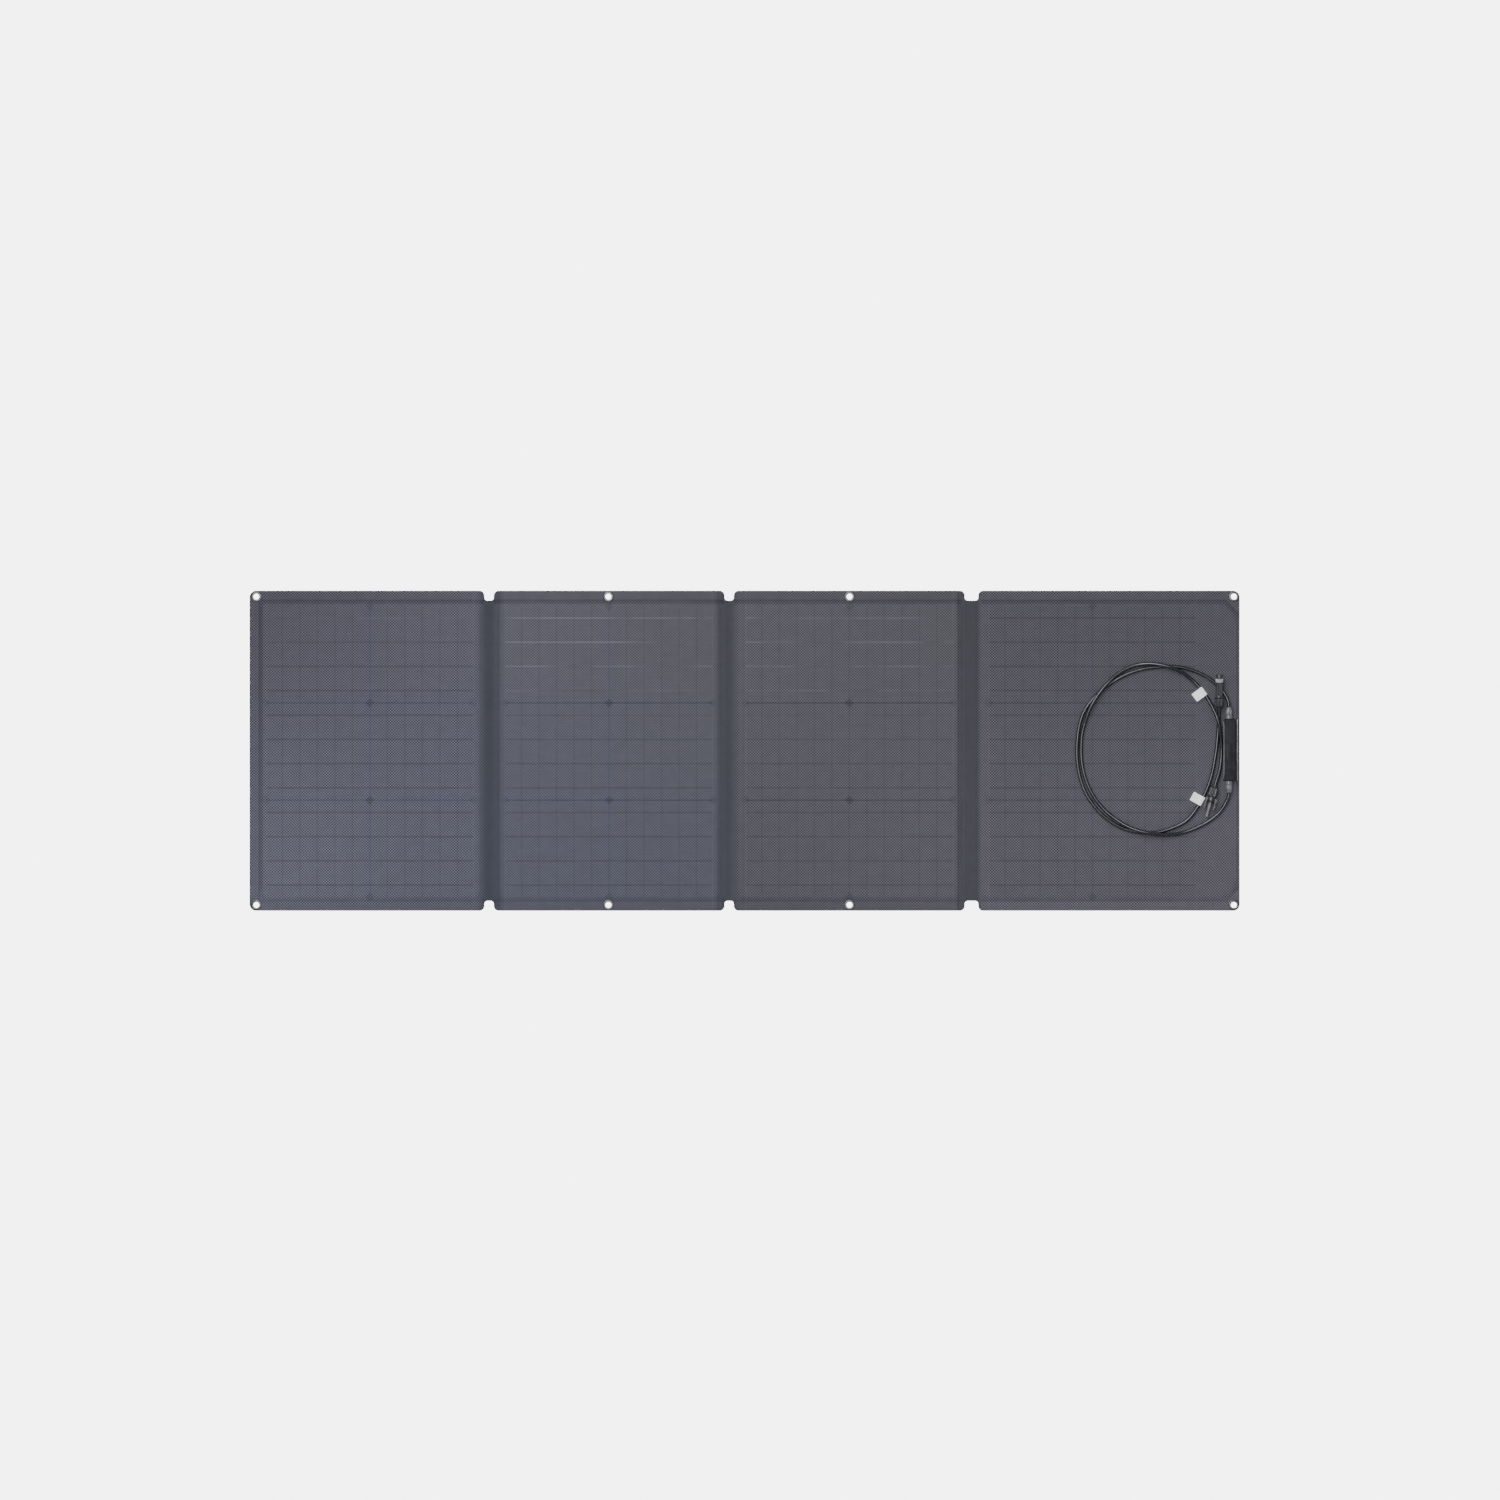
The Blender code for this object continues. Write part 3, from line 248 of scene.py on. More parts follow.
# Route of the lead from the lower gland to plug 1
ROUTE_1 = (
    (0.7785, -0.0825, 0.0080), (0.7700, -0.0970, 0.0068), (0.7578, -0.1085, 0.0060),
    (0.7389, -0.1206, 0.0058), (0.7065, -0.1331, 0.0060), (0.6810, -0.1355, 0.0090),
    (0.6526, -0.1328, 0.0121), (0.6285, -0.1264, 0.0106), (0.6065, -0.1150, 0.0078),
    (0.5798, -0.0934, 0.0058), (0.5580, -0.0619, 0.0058), (0.5458, -0.0231, 0.0058),
    (0.5450, 0.0222, 0.0060), (0.5496, 0.0440, 0.0076), (0.5555, 0.0620, 0.0104),
    (0.5620, 0.0760, 0.0120), (0.5695, 0.0880, 0.0123), (0.5772, 0.0984, 0.0122),
    (0.5879, 0.1101, 0.0110), (0.6033, 0.1239, 0.0078), (0.6203, 0.1339, 0.0062),
    (0.6400, 0.1398, 0.0063), (0.6600, 0.1405, 0.0094), (0.6850, 0.1360, 0.0121),
    (0.7050, 0.1278, 0.0096), (0.7230, 0.1152, 0.0067), (0.7416, 0.0946, 0.0076),
    (0.7567, 0.0692, 0.0118), (0.7626, 0.0554, 0.0137), (0.7673, 0.0400, 0.0131),
    (0.7701, 0.0201, 0.0090), (0.7709, -0.0015, 0.0064), (0.7696, -0.0214, 0.0066),
    (0.7665, -0.0376, 0.0086),
)

# Route of the lead from the upper gland to plug 2
ROUTE_2 = (
    (0.7795, 0.0860, 0.0077), (0.7724, 0.0970, 0.0059), (0.7605, 0.1101, 0.0058),
    (0.7335, 0.1266, 0.0058), (0.7012, 0.1355, 0.0058), (0.6688, 0.1355, 0.0058),
    (0.6364, 0.1302, 0.0058), (0.6041, 0.1167, 0.0058), (0.5717, 0.0926, 0.0058),
    (0.5471, 0.0595, 0.0058), (0.5377, 0.0142, 0.0058), (0.5398, -0.0311, 0.0058),
    (0.5520, -0.0692, 0.0058), (0.5754, -0.1007, 0.0058), (0.6041, -0.1218, 0.0058),
    (0.6364, -0.1319, 0.0058), (0.6688, -0.1315, 0.0058), (0.7012, -0.1209, 0.0058),
    (0.7173, -0.1104, 0.0063), (0.7377, -0.0820, 0.0069), (0.7526, -0.0481, 0.0062),
    (0.7617, -0.0053, 0.0058), (0.7657, 0.0368, 0.0062),
)


# Materials


class Graph:
    """A material's node tree, with short calls for the maths that the patterns need."""

    def __init__(self, name):
        self.material = bpy.data.materials.new(name)
        self.material.use_nodes = True
        self.nodes = self.material.node_tree.nodes
        self.links = self.material.node_tree.links
        self.shader = self.nodes["Principled BSDF"]

    def node(self, kind, *inputs, **settings):
        """Adds a node and feeds its first sockets."""
        made = self.nodes.new(kind)
        for key, value in settings.items():
            setattr(made, key, value)
        for socket, value in zip(made.inputs, inputs):
            self.feed(socket, value)
        return made

    def feed(self, socket, value):
        if isinstance(value, bpy.types.NodeSocket):
            self.links.new(value, socket)
        elif isinstance(value, (tuple, list)) and len(value) == 3 and socket.type == "RGBA":
            socket.default_value = (*value, 1.0)
        else:
            socket.default_value = value

    def set(self, **values):
        """Feeds the shader's sockets, named with _ for a space."""
        for key, value in values.items():
            self.feed(self.shader.inputs[key.replace("_", " ")], value)

    def math(self, operation, *inputs):
        return self.node("ShaderNodeMath", *inputs, operation=operation).outputs[0]

    def add(self, a, b):
        return self.math("ADD", a, b)

    def sub(self, a, b):
        return self.math("SUBTRACT", a, b)

    def mul(self, a, b):
        return self.math("MULTIPLY", a, b)

    def size(self, value):
        return self.math("ABSOLUTE", value)

    def apart(self, a, b):
        return self.size(self.sub(a, b))

    def span(self, value, start, end, low=0.0, high=1.0):
        """Smooth step of the value from start to end, as a number from low to high."""
        kind = "ShaderNodeMapRange"
        return self.node(kind, value, start, end, low, high, interpolation_type="SMOOTHSTEP").outputs[0]

    def line(self, distance, half_width=LINE_HALF_WIDTH, soft=LINE_SOFTNESS):
        """1 where the distance is under half the width, falling to 0 over the soft edge."""
        return self.span(distance, half_width, half_width + soft, 1.0, 0.0)

    def inside(self, distance, edge):
        """1 short of the edge and 0 past it, over a soft edge."""
        return self.line(distance, edge - LINE_HALF_WIDTH)

    def mix(self, factor, a, b, blend_type="MIX"):
        made = self.node("ShaderNodeMix", factor, data_type="RGBA", blend_type=blend_type)
        self.feed(made.inputs[6], a)
        self.feed(made.inputs[7], b)
        return made.outputs[2]

    def scaled(self, colour, factor):
        """The colour times a number, as one vector product."""
        made = self.node("ShaderNodeVectorMath", colour, operation="SCALE")
        self.feed(made.inputs["Scale"], factor)
        return made.outputs[0]

    def dimmed(self, colour, amount, factor):
        """The colour, times the factor where the amount is 1."""
        return self.scaled(colour, self.span(amount, 0.0, 1.0, 1.0, factor))

    def blended(self, colour, amount, factor):
        """Like dimmed(), in a straight line, for a factor that may itself vary."""
        return self.scaled(colour, self.add(self.mul(amount, self.sub(factor, 1.0)), 1.0))

    def varied(self, colour, noise, reach):
        """The colour, up to the reach darker or lighter as the noise goes."""
        return self.scaled(colour, self.span(noise, 0.3, 0.7, 1 - reach, 1 + reach))

    def noise(self, vector, scale, detail=2.0, roughness=0.5, distortion=0.0):
        made = self.node("ShaderNodeTexNoise")
        values = {
            "Vector": vector, "Scale": scale, "Detail": detail, "Roughness": roughness,
            "Distortion": distortion,
        }
        for key, value in values.items():
            self.feed(made.inputs[key], value)
        return made.outputs[0]

    def place(self):
        """Position in the object's own space, in metres."""
        return self.node("ShaderNodeTexCoord").outputs["Object"]

    def stretched(self, vector, factors):
        return self.node("ShaderNodeVectorMath", vector, factors, operation="MULTIPLY").outputs[0]

    def parts(self, vector):
        """The X and the Y of a vector."""
        return self.node("ShaderNodeSeparateXYZ", vector).outputs[:2]

    def waves(self, places, pitches, operation="SINE"):
        """Product of a wave along each place."""
        pair = [self.math(operation, self.mul(at, 2 * math.pi / pitch)) for at, pitch in zip(places, pitches)]
        return self.mul(*pair)

    def sheet_place(self):
        """The resting place on the sheet, as a vector, as X and as Y, in metres."""
        vector = self.node("ShaderNodeUVMap", uv_map="sheet").outputs[0]
        return vector, *self.parts(vector)

    def finished(self, colour, roughness, height, depth, **values):
        """The material, with its shader's colour, roughness, bump and other values set."""
        bump = self.node("ShaderNodeBump")
        self.feed(bump.inputs["Distance"], depth)
        self.feed(bump.inputs["Height"], height)
        self.set(Base_Color=colour, Roughness=roughness, Normal=bump.outputs[0], **values)
        return self.material


def fold_shade(graph, x, letters):
    """How much darker the film is in a fold and on its two flanks: 0 on flat film."""
    total = 0.0
    for letter in letters:
        left, right = FOLD_SPANS[letter]
        look = FOLD_LOOKS[letter]
        rise = graph.span(x, left + look["rise"][0], left + look["rise"][1])
        fall = graph.span(x, right + look["fall"][0], right + look["fall"][1], look["depth"], 0.0)
        total = graph.add(graph.mul(rise, fall), total)
    return total


def painted_crease_shade(graph, x, letters):
    """Painted shade along thin creases in the film beside a fold."""
    total = 0.0
    for letter in letters:
        left, right = FOLD_SPANS[letter]
        for side, away, depth in FOLD_LOOKS[letter]["creases"]:
            distance = graph.apart(x, left + away if side == "left" else right + away)
            total = graph.add(graph.mul(graph.line(distance, 0.0006, 0.0016), depth), total)
    return total


def border_inset(graph, x, y):
    """Distance inside the sheet's left, upper and lower edge and its two cut corners beside the box."""
    up = graph.size(y)
    inset = graph.math("MINIMUM", graph.sub(HALF_HEIGHT, up), graph.sub(x, START))
    reach = END + GROOVE_PAST_END + GROOVE_INSET + HALF_HEIGHT - GROOVE_CHAMFER
    corner = graph.mul(graph.sub(reach, graph.add(x, up)), math.sqrt(0.5))
    return graph.math("MINIMUM", inset, corner)


def add_border(graph, x, y, tone, colour):
    """Tones the border, paints light and shade on the slope up to the raised part and paints shade in the
    groove. Returns the slope as well.
    """
    inset = border_inset(graph, x, y)
    border = graph.inside(inset, GROOVE_INSET)
    below = graph.span(inset, BORDER_TOP_INSET - 0.003, BORDER_TOP_INSET, 1.0, 0.0)
    slope = graph.mul(below, graph.sub(1.0, border))
    groove = graph.line(graph.apart(inset, GROOVE_INSET))
    colour = graph.blended(colour, border, graph.span(y, *BORDER_TONE_HEIGHTS, *tone["border"]))
    # Painted light and shade on the slope: lighter along the lower edge, darker elsewhere.
    colour = graph.blended(colour, slope, graph.span(y, *SLOPE_PAINTED_LIGHT_HEIGHTS, *SLOPE_PAINTED_LIGHT))
    # Painted shade in the groove.
    return graph.blended(colour, groove, GROOVE_PAINTED_SHADE), slope


def add_cells(graph, x, y, tone, centre, colour, vector):
    """Paints two columns by three rows of cells, with a painted reflection on their busbars. Returns the
    height of their busbars as well.
    """
    y = graph.sub(y, CELL_SHIFT_Y)
    across = graph.apart(x, centre)
    up = graph.size(y)
    to_row_gap = graph.apart(up, CELL_ROW_PITCH / 2)
    to_side = graph.apart(across, FIELD_HALF_WIDTH)
    to_end = graph.apart(up, FIELD_HALF_HEIGHT)
    field = graph.mul(graph.inside(across, FIELD_HALF_WIDTH), graph.inside(up, FIELD_HALF_HEIGHT))
    streak = graph.noise(graph.stretched(vector, (14.0, 420.0, 1.0)), 1.0)
    colour = graph.scaled(colour, graph.span(field, 0.0, 1.0, tone["margin"], 1.0))
    colour = graph.varied(colour, streak, STREAK_REACH)

    beside_row = graph.line(to_row_gap, 0.001, 0.010)
    beside_column = graph.line(across, 0.002, 0.011)
    blue = graph.mul(graph.math("MAXIMUM", beside_row, beside_column), field)
    colour = graph.mix(graph.mul(blue, tone["blue"]), colour, BLUE_TINT, "MULTIPLY")

    gap_edge = (CELL_ROW_PITCH - CELL_HEIGHT) / 2 * 0.7
    gap = graph.mul(graph.line(to_row_gap, gap_edge, gap_edge), field)
    colour = graph.dimmed(colour, gap, tone["gap"])
    colour = graph.dimmed(colour, graph.mul(graph.line(across, soft=0.0010), field), COLUMN_GAP_TONE)

    corners = ((across, to_row_gap, 1.0), (across, to_end, 0.6), (to_side, to_row_gap, 0.45))
    for first, second, weight in corners:
        corner = graph.line(graph.add(first, second), CELL_CHAMFER, 0.0010)
        colour = graph.mix(graph.mul(corner, weight), colour, CORNER_TINT, "MULTIPLY")

    row = graph.math("ROUND", graph.mul(y, 1 / CELL_ROW_PITCH))
    in_row = graph.sub(y, graph.mul(row, CELL_ROW_PITCH))
    to_bar = graph.sub(BUSBAR_PITCH / 2, graph.math("PINGPONG", in_row, BUSBAR_PITCH / 2))
    clear = graph.sub(1.0, graph.line(to_row_gap, 0.004, 0.001))
    bar = graph.mul(graph.mul(graph.line(to_bar, 0.0007, 0.0011), field), clear)
    # Painted reflection on the busbars: dark low on the leaf, bright above the rise, broken up by noise.
    broken = graph.span(graph.noise(vector, 9.0), 0.35, 0.62, 0.35, 1.0)
    bar_reflection = graph.mul(graph.span(y, *tone["bar_rise"]), broken)
    colour = graph.blended(colour, bar, graph.span(bar_reflection, 0.0, 1.0, *tone["bar_range"]))

    to_strip = graph.math("PINGPONG", graph.sub(x, centre), STRIP_PITCH / 2)
    colour = graph.dimmed(colour, graph.mul(graph.line(to_strip, 0.0005), field), STRIP_TONE)
    return graph.dimmed(colour, graph.line(to_side), SIDE_EDGE_TONE), graph.mul(bar, 0.15)


def film_material(name, leaf, letters):
    """Satin laminate with its cells showing through, painted shade in and beside its folds and painted light
    and shade on its embossed lattice. Without a leaf it has no cells.
    """
    graph = Graph(name)
    vector, x, y = graph.sheet_place()
    lattice = graph.waves((x, y), LATTICE, "COSINE")
    drift = graph.noise(vector, 5.0, 3.0, 0.55)
    mottle = graph.noise(vector, 60.0, 3.0, 0.6)
    roughness = graph.span(drift, 0.25, 0.75, 0.50, 0.60)
    shade = fold_shade(graph, x, letters)
    crease_shade = painted_crease_shade(graph, x, letters)
    rise = graph.span(y, *TONE_HEIGHTS)
    if leaf is None:
        colour = graph.mix(rise, *FOLD_LOOKS[letters[0]]["tone"])
        contrast, height = FOLD_DOT_LIGHT_AND_SHADE, 0.0
    else:
        tone = FILM_TONES[leaf]
        along = graph.span(x, *LEAF_EXTENTS[leaf])
        colour = graph.mix(rise, graph.mix(along, *tone["lower"]), graph.mix(along, *tone["upper"]))
        colour, height = add_cells(graph, x, y, tone, CELL_FIELD_CENTRES[leaf], colour, vector)
        colour, slope = add_border(graph, x, y, tone, colour)
        roughness = graph.add(roughness, graph.mul(slope, SLOPE_ROUGHNESS))
        colour = graph.mix(graph.mul(shade, 2.0), colour, SHADE_TINT, "MULTIPLY")
        contrast = tone["dots"]
    # Painted shade of the folds and their creases.
    colour = graph.scaled(colour, graph.mul(graph.sub(1.0, shade), graph.sub(1.0, crease_shade)))
    # Painted light and shade on the embossed lattice, weaker where the fold's painted shade is deep.
    depth = graph.span(shade, 0.1, 0.4, 1.0, 0.45)
    dots = graph.mul(graph.span(lattice, -0.75, 0.75, -contrast, contrast), depth)
    colour = graph.scaled(colour, graph.add(dots, 1.0))
    colour = graph.varied(graph.varied(colour, drift, DRIFT_REACH), mottle, DRIFT_REACH)
    relief = graph.add(graph.mul(graph.mul(lattice, depth), 0.5), height)
    relief = graph.add(relief, graph.mul(mottle, 0.15))
    return graph.finished(colour, roughness, relief, LATTICE_DEPTH, Specular_IOR_Level=0.20)


def fabric_material(name):
    """Plain weave of dull black yarn."""
    graph = Graph(name)
    vector, x, y = graph.sheet_place()
    weave = graph.waves((x, y), (0.0011, 0.0011))
    fuzz = graph.noise(vector, 900.0, 2.0, 0.6)
    drift = graph.noise(vector, 7.0, 3.0)
    colour = graph.mix(graph.span(drift, 0.3, 0.7), (0.017, 0.017, 0.019), (0.024, 0.024, 0.027))
    colour = graph.scaled(colour, graph.span(weave, -1.0, 1.0, 0.72, 1.28))
    colour = graph.varied(colour, fuzz, 0.15)
    roughness = graph.span(weave, -1.0, 1.0, 0.86, 0.74)
    return graph.finished(colour, roughness, graph.add(weave, fuzz), 0.00015, Sheen_Weight=0.25)


def tinted(colour, factor, lift=0.0):
    return tuple(channel * factor + lift for channel in colour)


def plastic_material(name, colour, roughness, grain=900.0, grain_depth=0.00004, gloss=0.5):
    """Moulded plastic with a fine spark texture and a little handling wear."""
    graph = Graph(name)
    spark = graph.noise(graph.place(), grain, 2.0, 0.6)
    wear = graph.noise(graph.place(), 90.0, 4.0, 0.6)
    worn = graph.mix(graph.span(wear, 0.35, 0.75), colour, tinted(colour, 1.5, 0.004))
    dulled = graph.span(wear, 0.3, 0.75, roughness + 0.05, roughness - 0.06)
    tint = graph.varied(worn, spark, 0.08)
    return graph.finished(tint, dulled, spark, grain_depth, Specular_IOR_Level=gloss)


def jacket_material(name):
    """Black cable jacket, satin, with faint drawn marks and dust."""
    graph = Graph(name)
    dust = graph.noise(graph.place(), 45.0, 4.0, 0.65)
    colour = graph.mix(graph.span(dust, 0.45, 0.80), (0.0040, 0.0041, 0.0058), (0.0100, 0.0102, 0.0130))
    drawn = graph.noise(graph.place(), 320.0, 2.0, 0.5, 0.4)
    return graph.finished(
        colour, graph.span(dust, 0.3, 0.7, 0.20, 0.28), drawn, 0.00002, Specular_IOR_Level=0.85,
        Specular_Tint=(0.90, 0.95, 1.0), Coat_Weight=0.5, Coat_Roughness=0.40,
    )


def metal_material(name, colour, roughness):
    """Plated or bare metal with fine scratches and a slightly dull bloom."""
    graph = Graph(name)
    fine = graph.noise(graph.stretched(graph.place(), (1.0, 3.0, 1.0)), 260.0, 3.0, 0.6)
    bloom = graph.noise(graph.place(), 70.0, 3.0)
    tint = graph.mix(graph.span(bloom, 0.35, 0.7), colour, tinted(colour, 0.82))
    scratched = graph.span(fine, 0.3, 0.7, roughness - 0.05, roughness + 0.07)
    return graph.finished(tint, scratched, fine, 0.00002, Metallic=1.0)


def paper_material(name):
    """Coated white label stock with a faint fibre. It glows a little, as bright as in the photograph."""
    graph = Graph(name)
    fibre = graph.noise(graph.stretched(graph.place(), (2.0, 1.0, 1.0)), 700.0, 4.0, 0.6)
    tint = graph.mix(graph.span(fibre, 0.3, 0.7), (0.80, 0.80, 0.79), (0.88, 0.88, 0.88))
    roughness = graph.span(fibre, 0.3, 0.7, 0.42, 0.56)
    glow = {"Emission_Color": (0.95, 0.97, 1.0), "Emission_Strength": 0.6}
    return graph.finished(tint, roughness, fibre, 0.00003, **glow)


def rubber_material(name, colour):
    graph = Graph(name)
    bloom = graph.noise(graph.place(), 160.0, 4.0, 0.6)
    tint = graph.mix(graph.span(bloom, 0.35, 0.7), colour, tinted(colour, 1.6))
    return graph.finished(tint, graph.span(bloom, 0.3, 0.7, 0.72, 0.88), bloom, 0.00005)


def silicon_material(name):
    """Dark blue cell face with its thin silver fingers."""
    graph = Graph(name)
    finger_pitch = 0.0018
    x, _ = graph.parts(graph.place())
    finger = graph.line(graph.math("PINGPONG", x, finger_pitch / 2), 0.00005, 0.00004)
    drift = graph.noise(graph.place(), 12.0)
    blue = graph.mix(graph.span(drift, 0.3, 0.7), (0.010, 0.013, 0.040), (0.014, 0.018, 0.055))
    colour = graph.mix(graph.mul(finger, 0.6), blue, (0.45, 0.46, 0.48))
    return graph.finished(colour, graph.span(drift, 0.3, 0.7, 0.22, 0.32), finger, 0.00002)


def board_material(name):
    """Glass-fibre board: pale green resin over a coarse cloth."""
    graph = Graph(name)
    cloth = graph.waves(graph.parts(graph.place()), (0.0021, 0.0021))
    drift = graph.noise(graph.place(), 30.0, 3.0)
    colour = graph.mix(graph.span(drift, 0.3, 0.7), (0.46, 0.50, 0.33), (0.56, 0.60, 0.42))
    colour = graph.scaled(colour, graph.span(cloth, -1.0, 1.0, 0.88, 1.10))
    return graph.finished(colour, graph.span(drift, 0.3, 0.7, 0.45, 0.6), cloth, 0.00005)


# Mesh helpers


def add_object(name, data, material=None):
    obj = bpy.data.objects.new(name, data)
    bpy.context.scene.collection.objects.link(obj)
    if material:
        data.materials.append(material)
    return obj


def mesh_from_bmesh(name, bm):
    mesh = bpy.data.meshes.new(name)
    bm.to_mesh(mesh)
    bm.free()
    return mesh


def shade(obj, angle):
    """Smooth shading, with edges left sharp that are steeper than the angle in degrees."""
    for polygon in obj.data.polygons:
        polygon.use_smooth = True
    obj.data.set_sharp_from_angle(angle=math.radians(angle))


def object_from_bmesh(name, bm, material, angle=35.0):
    bmesh.ops.recalc_face_normals(bm, faces=bm.faces)
    obj = add_object(name, mesh_from_bmesh(name, bm), material)
    shade(obj, angle)
    return obj


def seat(obj, node, body="leaf_4"):
    """Hides the CAD node that a piece stands for and attaches the piece to the body it rides on, where it has
    them.
    """
    if node:
        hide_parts(node)
    if body:
        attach(obj, body)
    return obj


def axis_frame(origin, axis):
    """Matrix that carries local +Z onto the axis, with local Y kept as near world +Z as it can be."""
    along = Vector(axis).normalized()
    side = Vector((0.0, 0.0, 1.0)).cross(along).normalized()
    rotation = Matrix((side, along.cross(side), along)).transposed()
    return Matrix.Translation(Vector(origin)) @ rotation.to_4x4()


def join_rings(bm, rings):
    """Adds the faces between each closed ring of vertices and the next."""
    for here, there in zip(rings, rings[1:]):
        for i in range(len(here)):
            bm.faces.new((here[i - 1], there[i - 1], there[i], here[i]))


def turned(name, profile, place, material, steps=64, ribs=None):
    """Solid of revolution about local Z from a closed (radius, height) profile.

    ribs(radius, height, angle) gives the radius to use at that angle, for flutes.
    """
    bm = bmesh.new()
    rings = []
    for step in range(steps):
        angle = 2 * math.pi * step / steps
        ring = []
        for radius, height in profile:
            reach = ribs(radius, height, angle) if ribs else radius
            ring.append(bm.verts.new((reach * math.cos(angle), reach * math.sin(angle), height)))
        rings.append(ring)
    join_rings(bm, rings + rings[:1])
    bmesh.ops.transform(bm, matrix=place, verts=bm.verts)
    return object_from_bmesh(name, bm, material)


def flutes(count, depth, low, high, least_radius, power=1.5):
    """Rib rule for turned(): rounded flutes between two heights, on the outer skin only."""

    def rule(radius, height, angle):
        if not low <= height <= high or radius < least_radius:
            return radius
        return radius - depth * (0.5 - 0.5 * math.cos(count * angle)) ** power

    return rule


def rounded_profile(corners, radius, steps=3):
    """The closed profile with each corner cut into a small arc."""
    points = []
    count = len(corners)
    for i in range(count):
        before, here, after = (Vector(corners[(i + k) % count]) for k in (-1, 0, 1))
        reach = min(radius, (before - here).length * 0.45, (after - here).length * 0.45)
        start = here + (before - here).normalized() * reach
        end = here + (after - here).normalized() * reach
        for step in range(steps + 1):
            t = step / steps
            points.append(tuple(start * (1 - t) ** 2 + here * 2 * t * (1 - t) + end * t * t))
    return points


def fitting(name, node, corners, rounding, place, material, steps=64, ribs=None):
    """A turned piece of the box or of a lead, seated on leaf 4."""
    profile = rounded_profile(corners, rounding)
    return seat(turned(name, profile, place, material, steps, ribs), node)


def block(bm, centre, size, bevel, segments=2):
    """Adds a box with rounded edges to the bmesh."""
    part = bmesh.new()
    bmesh.ops.create_cube(part, size=1.0)
    bmesh.ops.scale(part, vec=size, verts=part.verts)
    edges = list(part.edges)
    bmesh.ops.bevel(part, geom=edges, offset=bevel, segments=segments, profile=0.5, affect="EDGES")
    bmesh.ops.translate(part, vec=centre, verts=part.verts)
    mesh = mesh_from_bmesh("part", part)
    bm.from_mesh(mesh)
    bpy.data.meshes.remove(mesh)


# Shape of the sheet


def smooth(t):
    t = np.clip(t, 0.0, 1.0)
    return t * t * (3 - 2 * t)


def wave(turns):
    return np.sin(2 * math.pi * turns)


def arc_drop(radius, reach):
    """How far a round corner falls back at a distance into it."""
    return radius - np.sqrt(radius**2 - np.clip(reach, 0.0, radius) ** 2)


def edge_height(x):
    """Distance of the sheet's upper edge from its middle line at each x, with corners and notches."""
    drop = arc_drop(OUTER_CORNER_RADIUS, np.abs(x) - (END - OUTER_CORNER_RADIUS))
    for left, right in NOTCH_SPANS:
        away = np.maximum(left - x, x - right)
        lip = arc_drop(NOTCH_LIP_RADIUS, NOTCH_LIP_RADIUS - away)
        root = NOTCH_DEPTH - arc_drop(NOTCH_ROOT_RADIUS, NOTCH_ROOT_RADIUS + away)
        drop = drop + np.where(away > 0, lip, root)
    return HALF_HEIGHT - drop


def rectangle_distance(x, y, left, right, top, radius, chamfer):
    """Signed distance outside a rounded rectangle, even about y = 0. The chamfer cuts its right corners."""
    qx = np.maximum(left - x, x - right) + radius
    qy = np.abs(y) - top + radius
    outside = np.hypot(np.maximum(qx, 0), np.maximum(qy, 0)) - radius
    distance = outside + np.minimum(np.maximum(qx, qy), 0)
    if chamfer:
        distance = np.maximum(distance, (x - right + np.abs(y) - top + chamfer) / math.sqrt(2))
    return distance


def core_rise(x, y):
    """From 0 on the border and the folds to 1 on the raised part of each leaf."""
    rise = np.zeros(np.broadcast(x, y).shape)
    core_top = HALF_HEIGHT - BORDER_TOP_INSET
    reach_y = np.maximum(np.abs(y) - core_top + CORE_CORNER_RADIUS, 0)
    for left, right in LEAF_EXTENTS:
        first, last = left == START, right == END
        core_left = left + (BORDER_TOP_INSET if first else FOLD_TOP_INSET)
        core_right = right - (BOX_SIDE_TOP_INSET if last else FOLD_TOP_INSET)
        chamfer = BOX_SIDE_CHAMFER if last else None
        distance = rectangle_distance(x, y, core_left, core_right, core_top, CORE_CORNER_RADIUS, chamfer)
        left_width = SHOULDER_WIDTH if first else FOLD_SLOPE_WIDTH
        right_width = BOX_SIDE_SLOPE_WIDTH if last else FOLD_SLOPE_WIDTH
        slope = SHOULDER_WIDTH
        for width, past in ((left_width, core_left - x), (right_width, x - core_right)):
            reach_x = np.maximum(past + CORE_CORNER_RADIUS, 0)
            share = reach_x / np.maximum(reach_x + reach_y, 1e-9)
            slope = slope + (width - SHOULDER_WIDTH) * smooth(share)
        rise = np.where((x >= left) & (x <= right), smooth(1 - distance / slope), rise)
    return rise


def groove_depth(x, y):
    """Pressed line that runs round the border outside the raised part. It fades out before each fold."""
    distance = rectangle_distance(
        x, y, START + GROOVE_INSET, END + GROOVE_PAST_END, HALF_HEIGHT - GROOVE_INSET, CORE_CORNER_RADIUS,
        GROOVE_CHAMFER,
    )
    inside = 0.0
    for left, right in LEAF_EXTENTS:
        from_left = 1.0 if left == START else smooth((x - left - 0.002) / 0.006)
        from_right = 1.0 if right == END else smooth((right - 0.002 - x) / 0.006)
        inside = np.maximum(inside, from_left * from_right * ((x >= left) & (x <= right)))
    return GROOVE_DEPTH * np.exp(-((distance / GROOVE_HALF_WIDTH) ** 2)) * inside


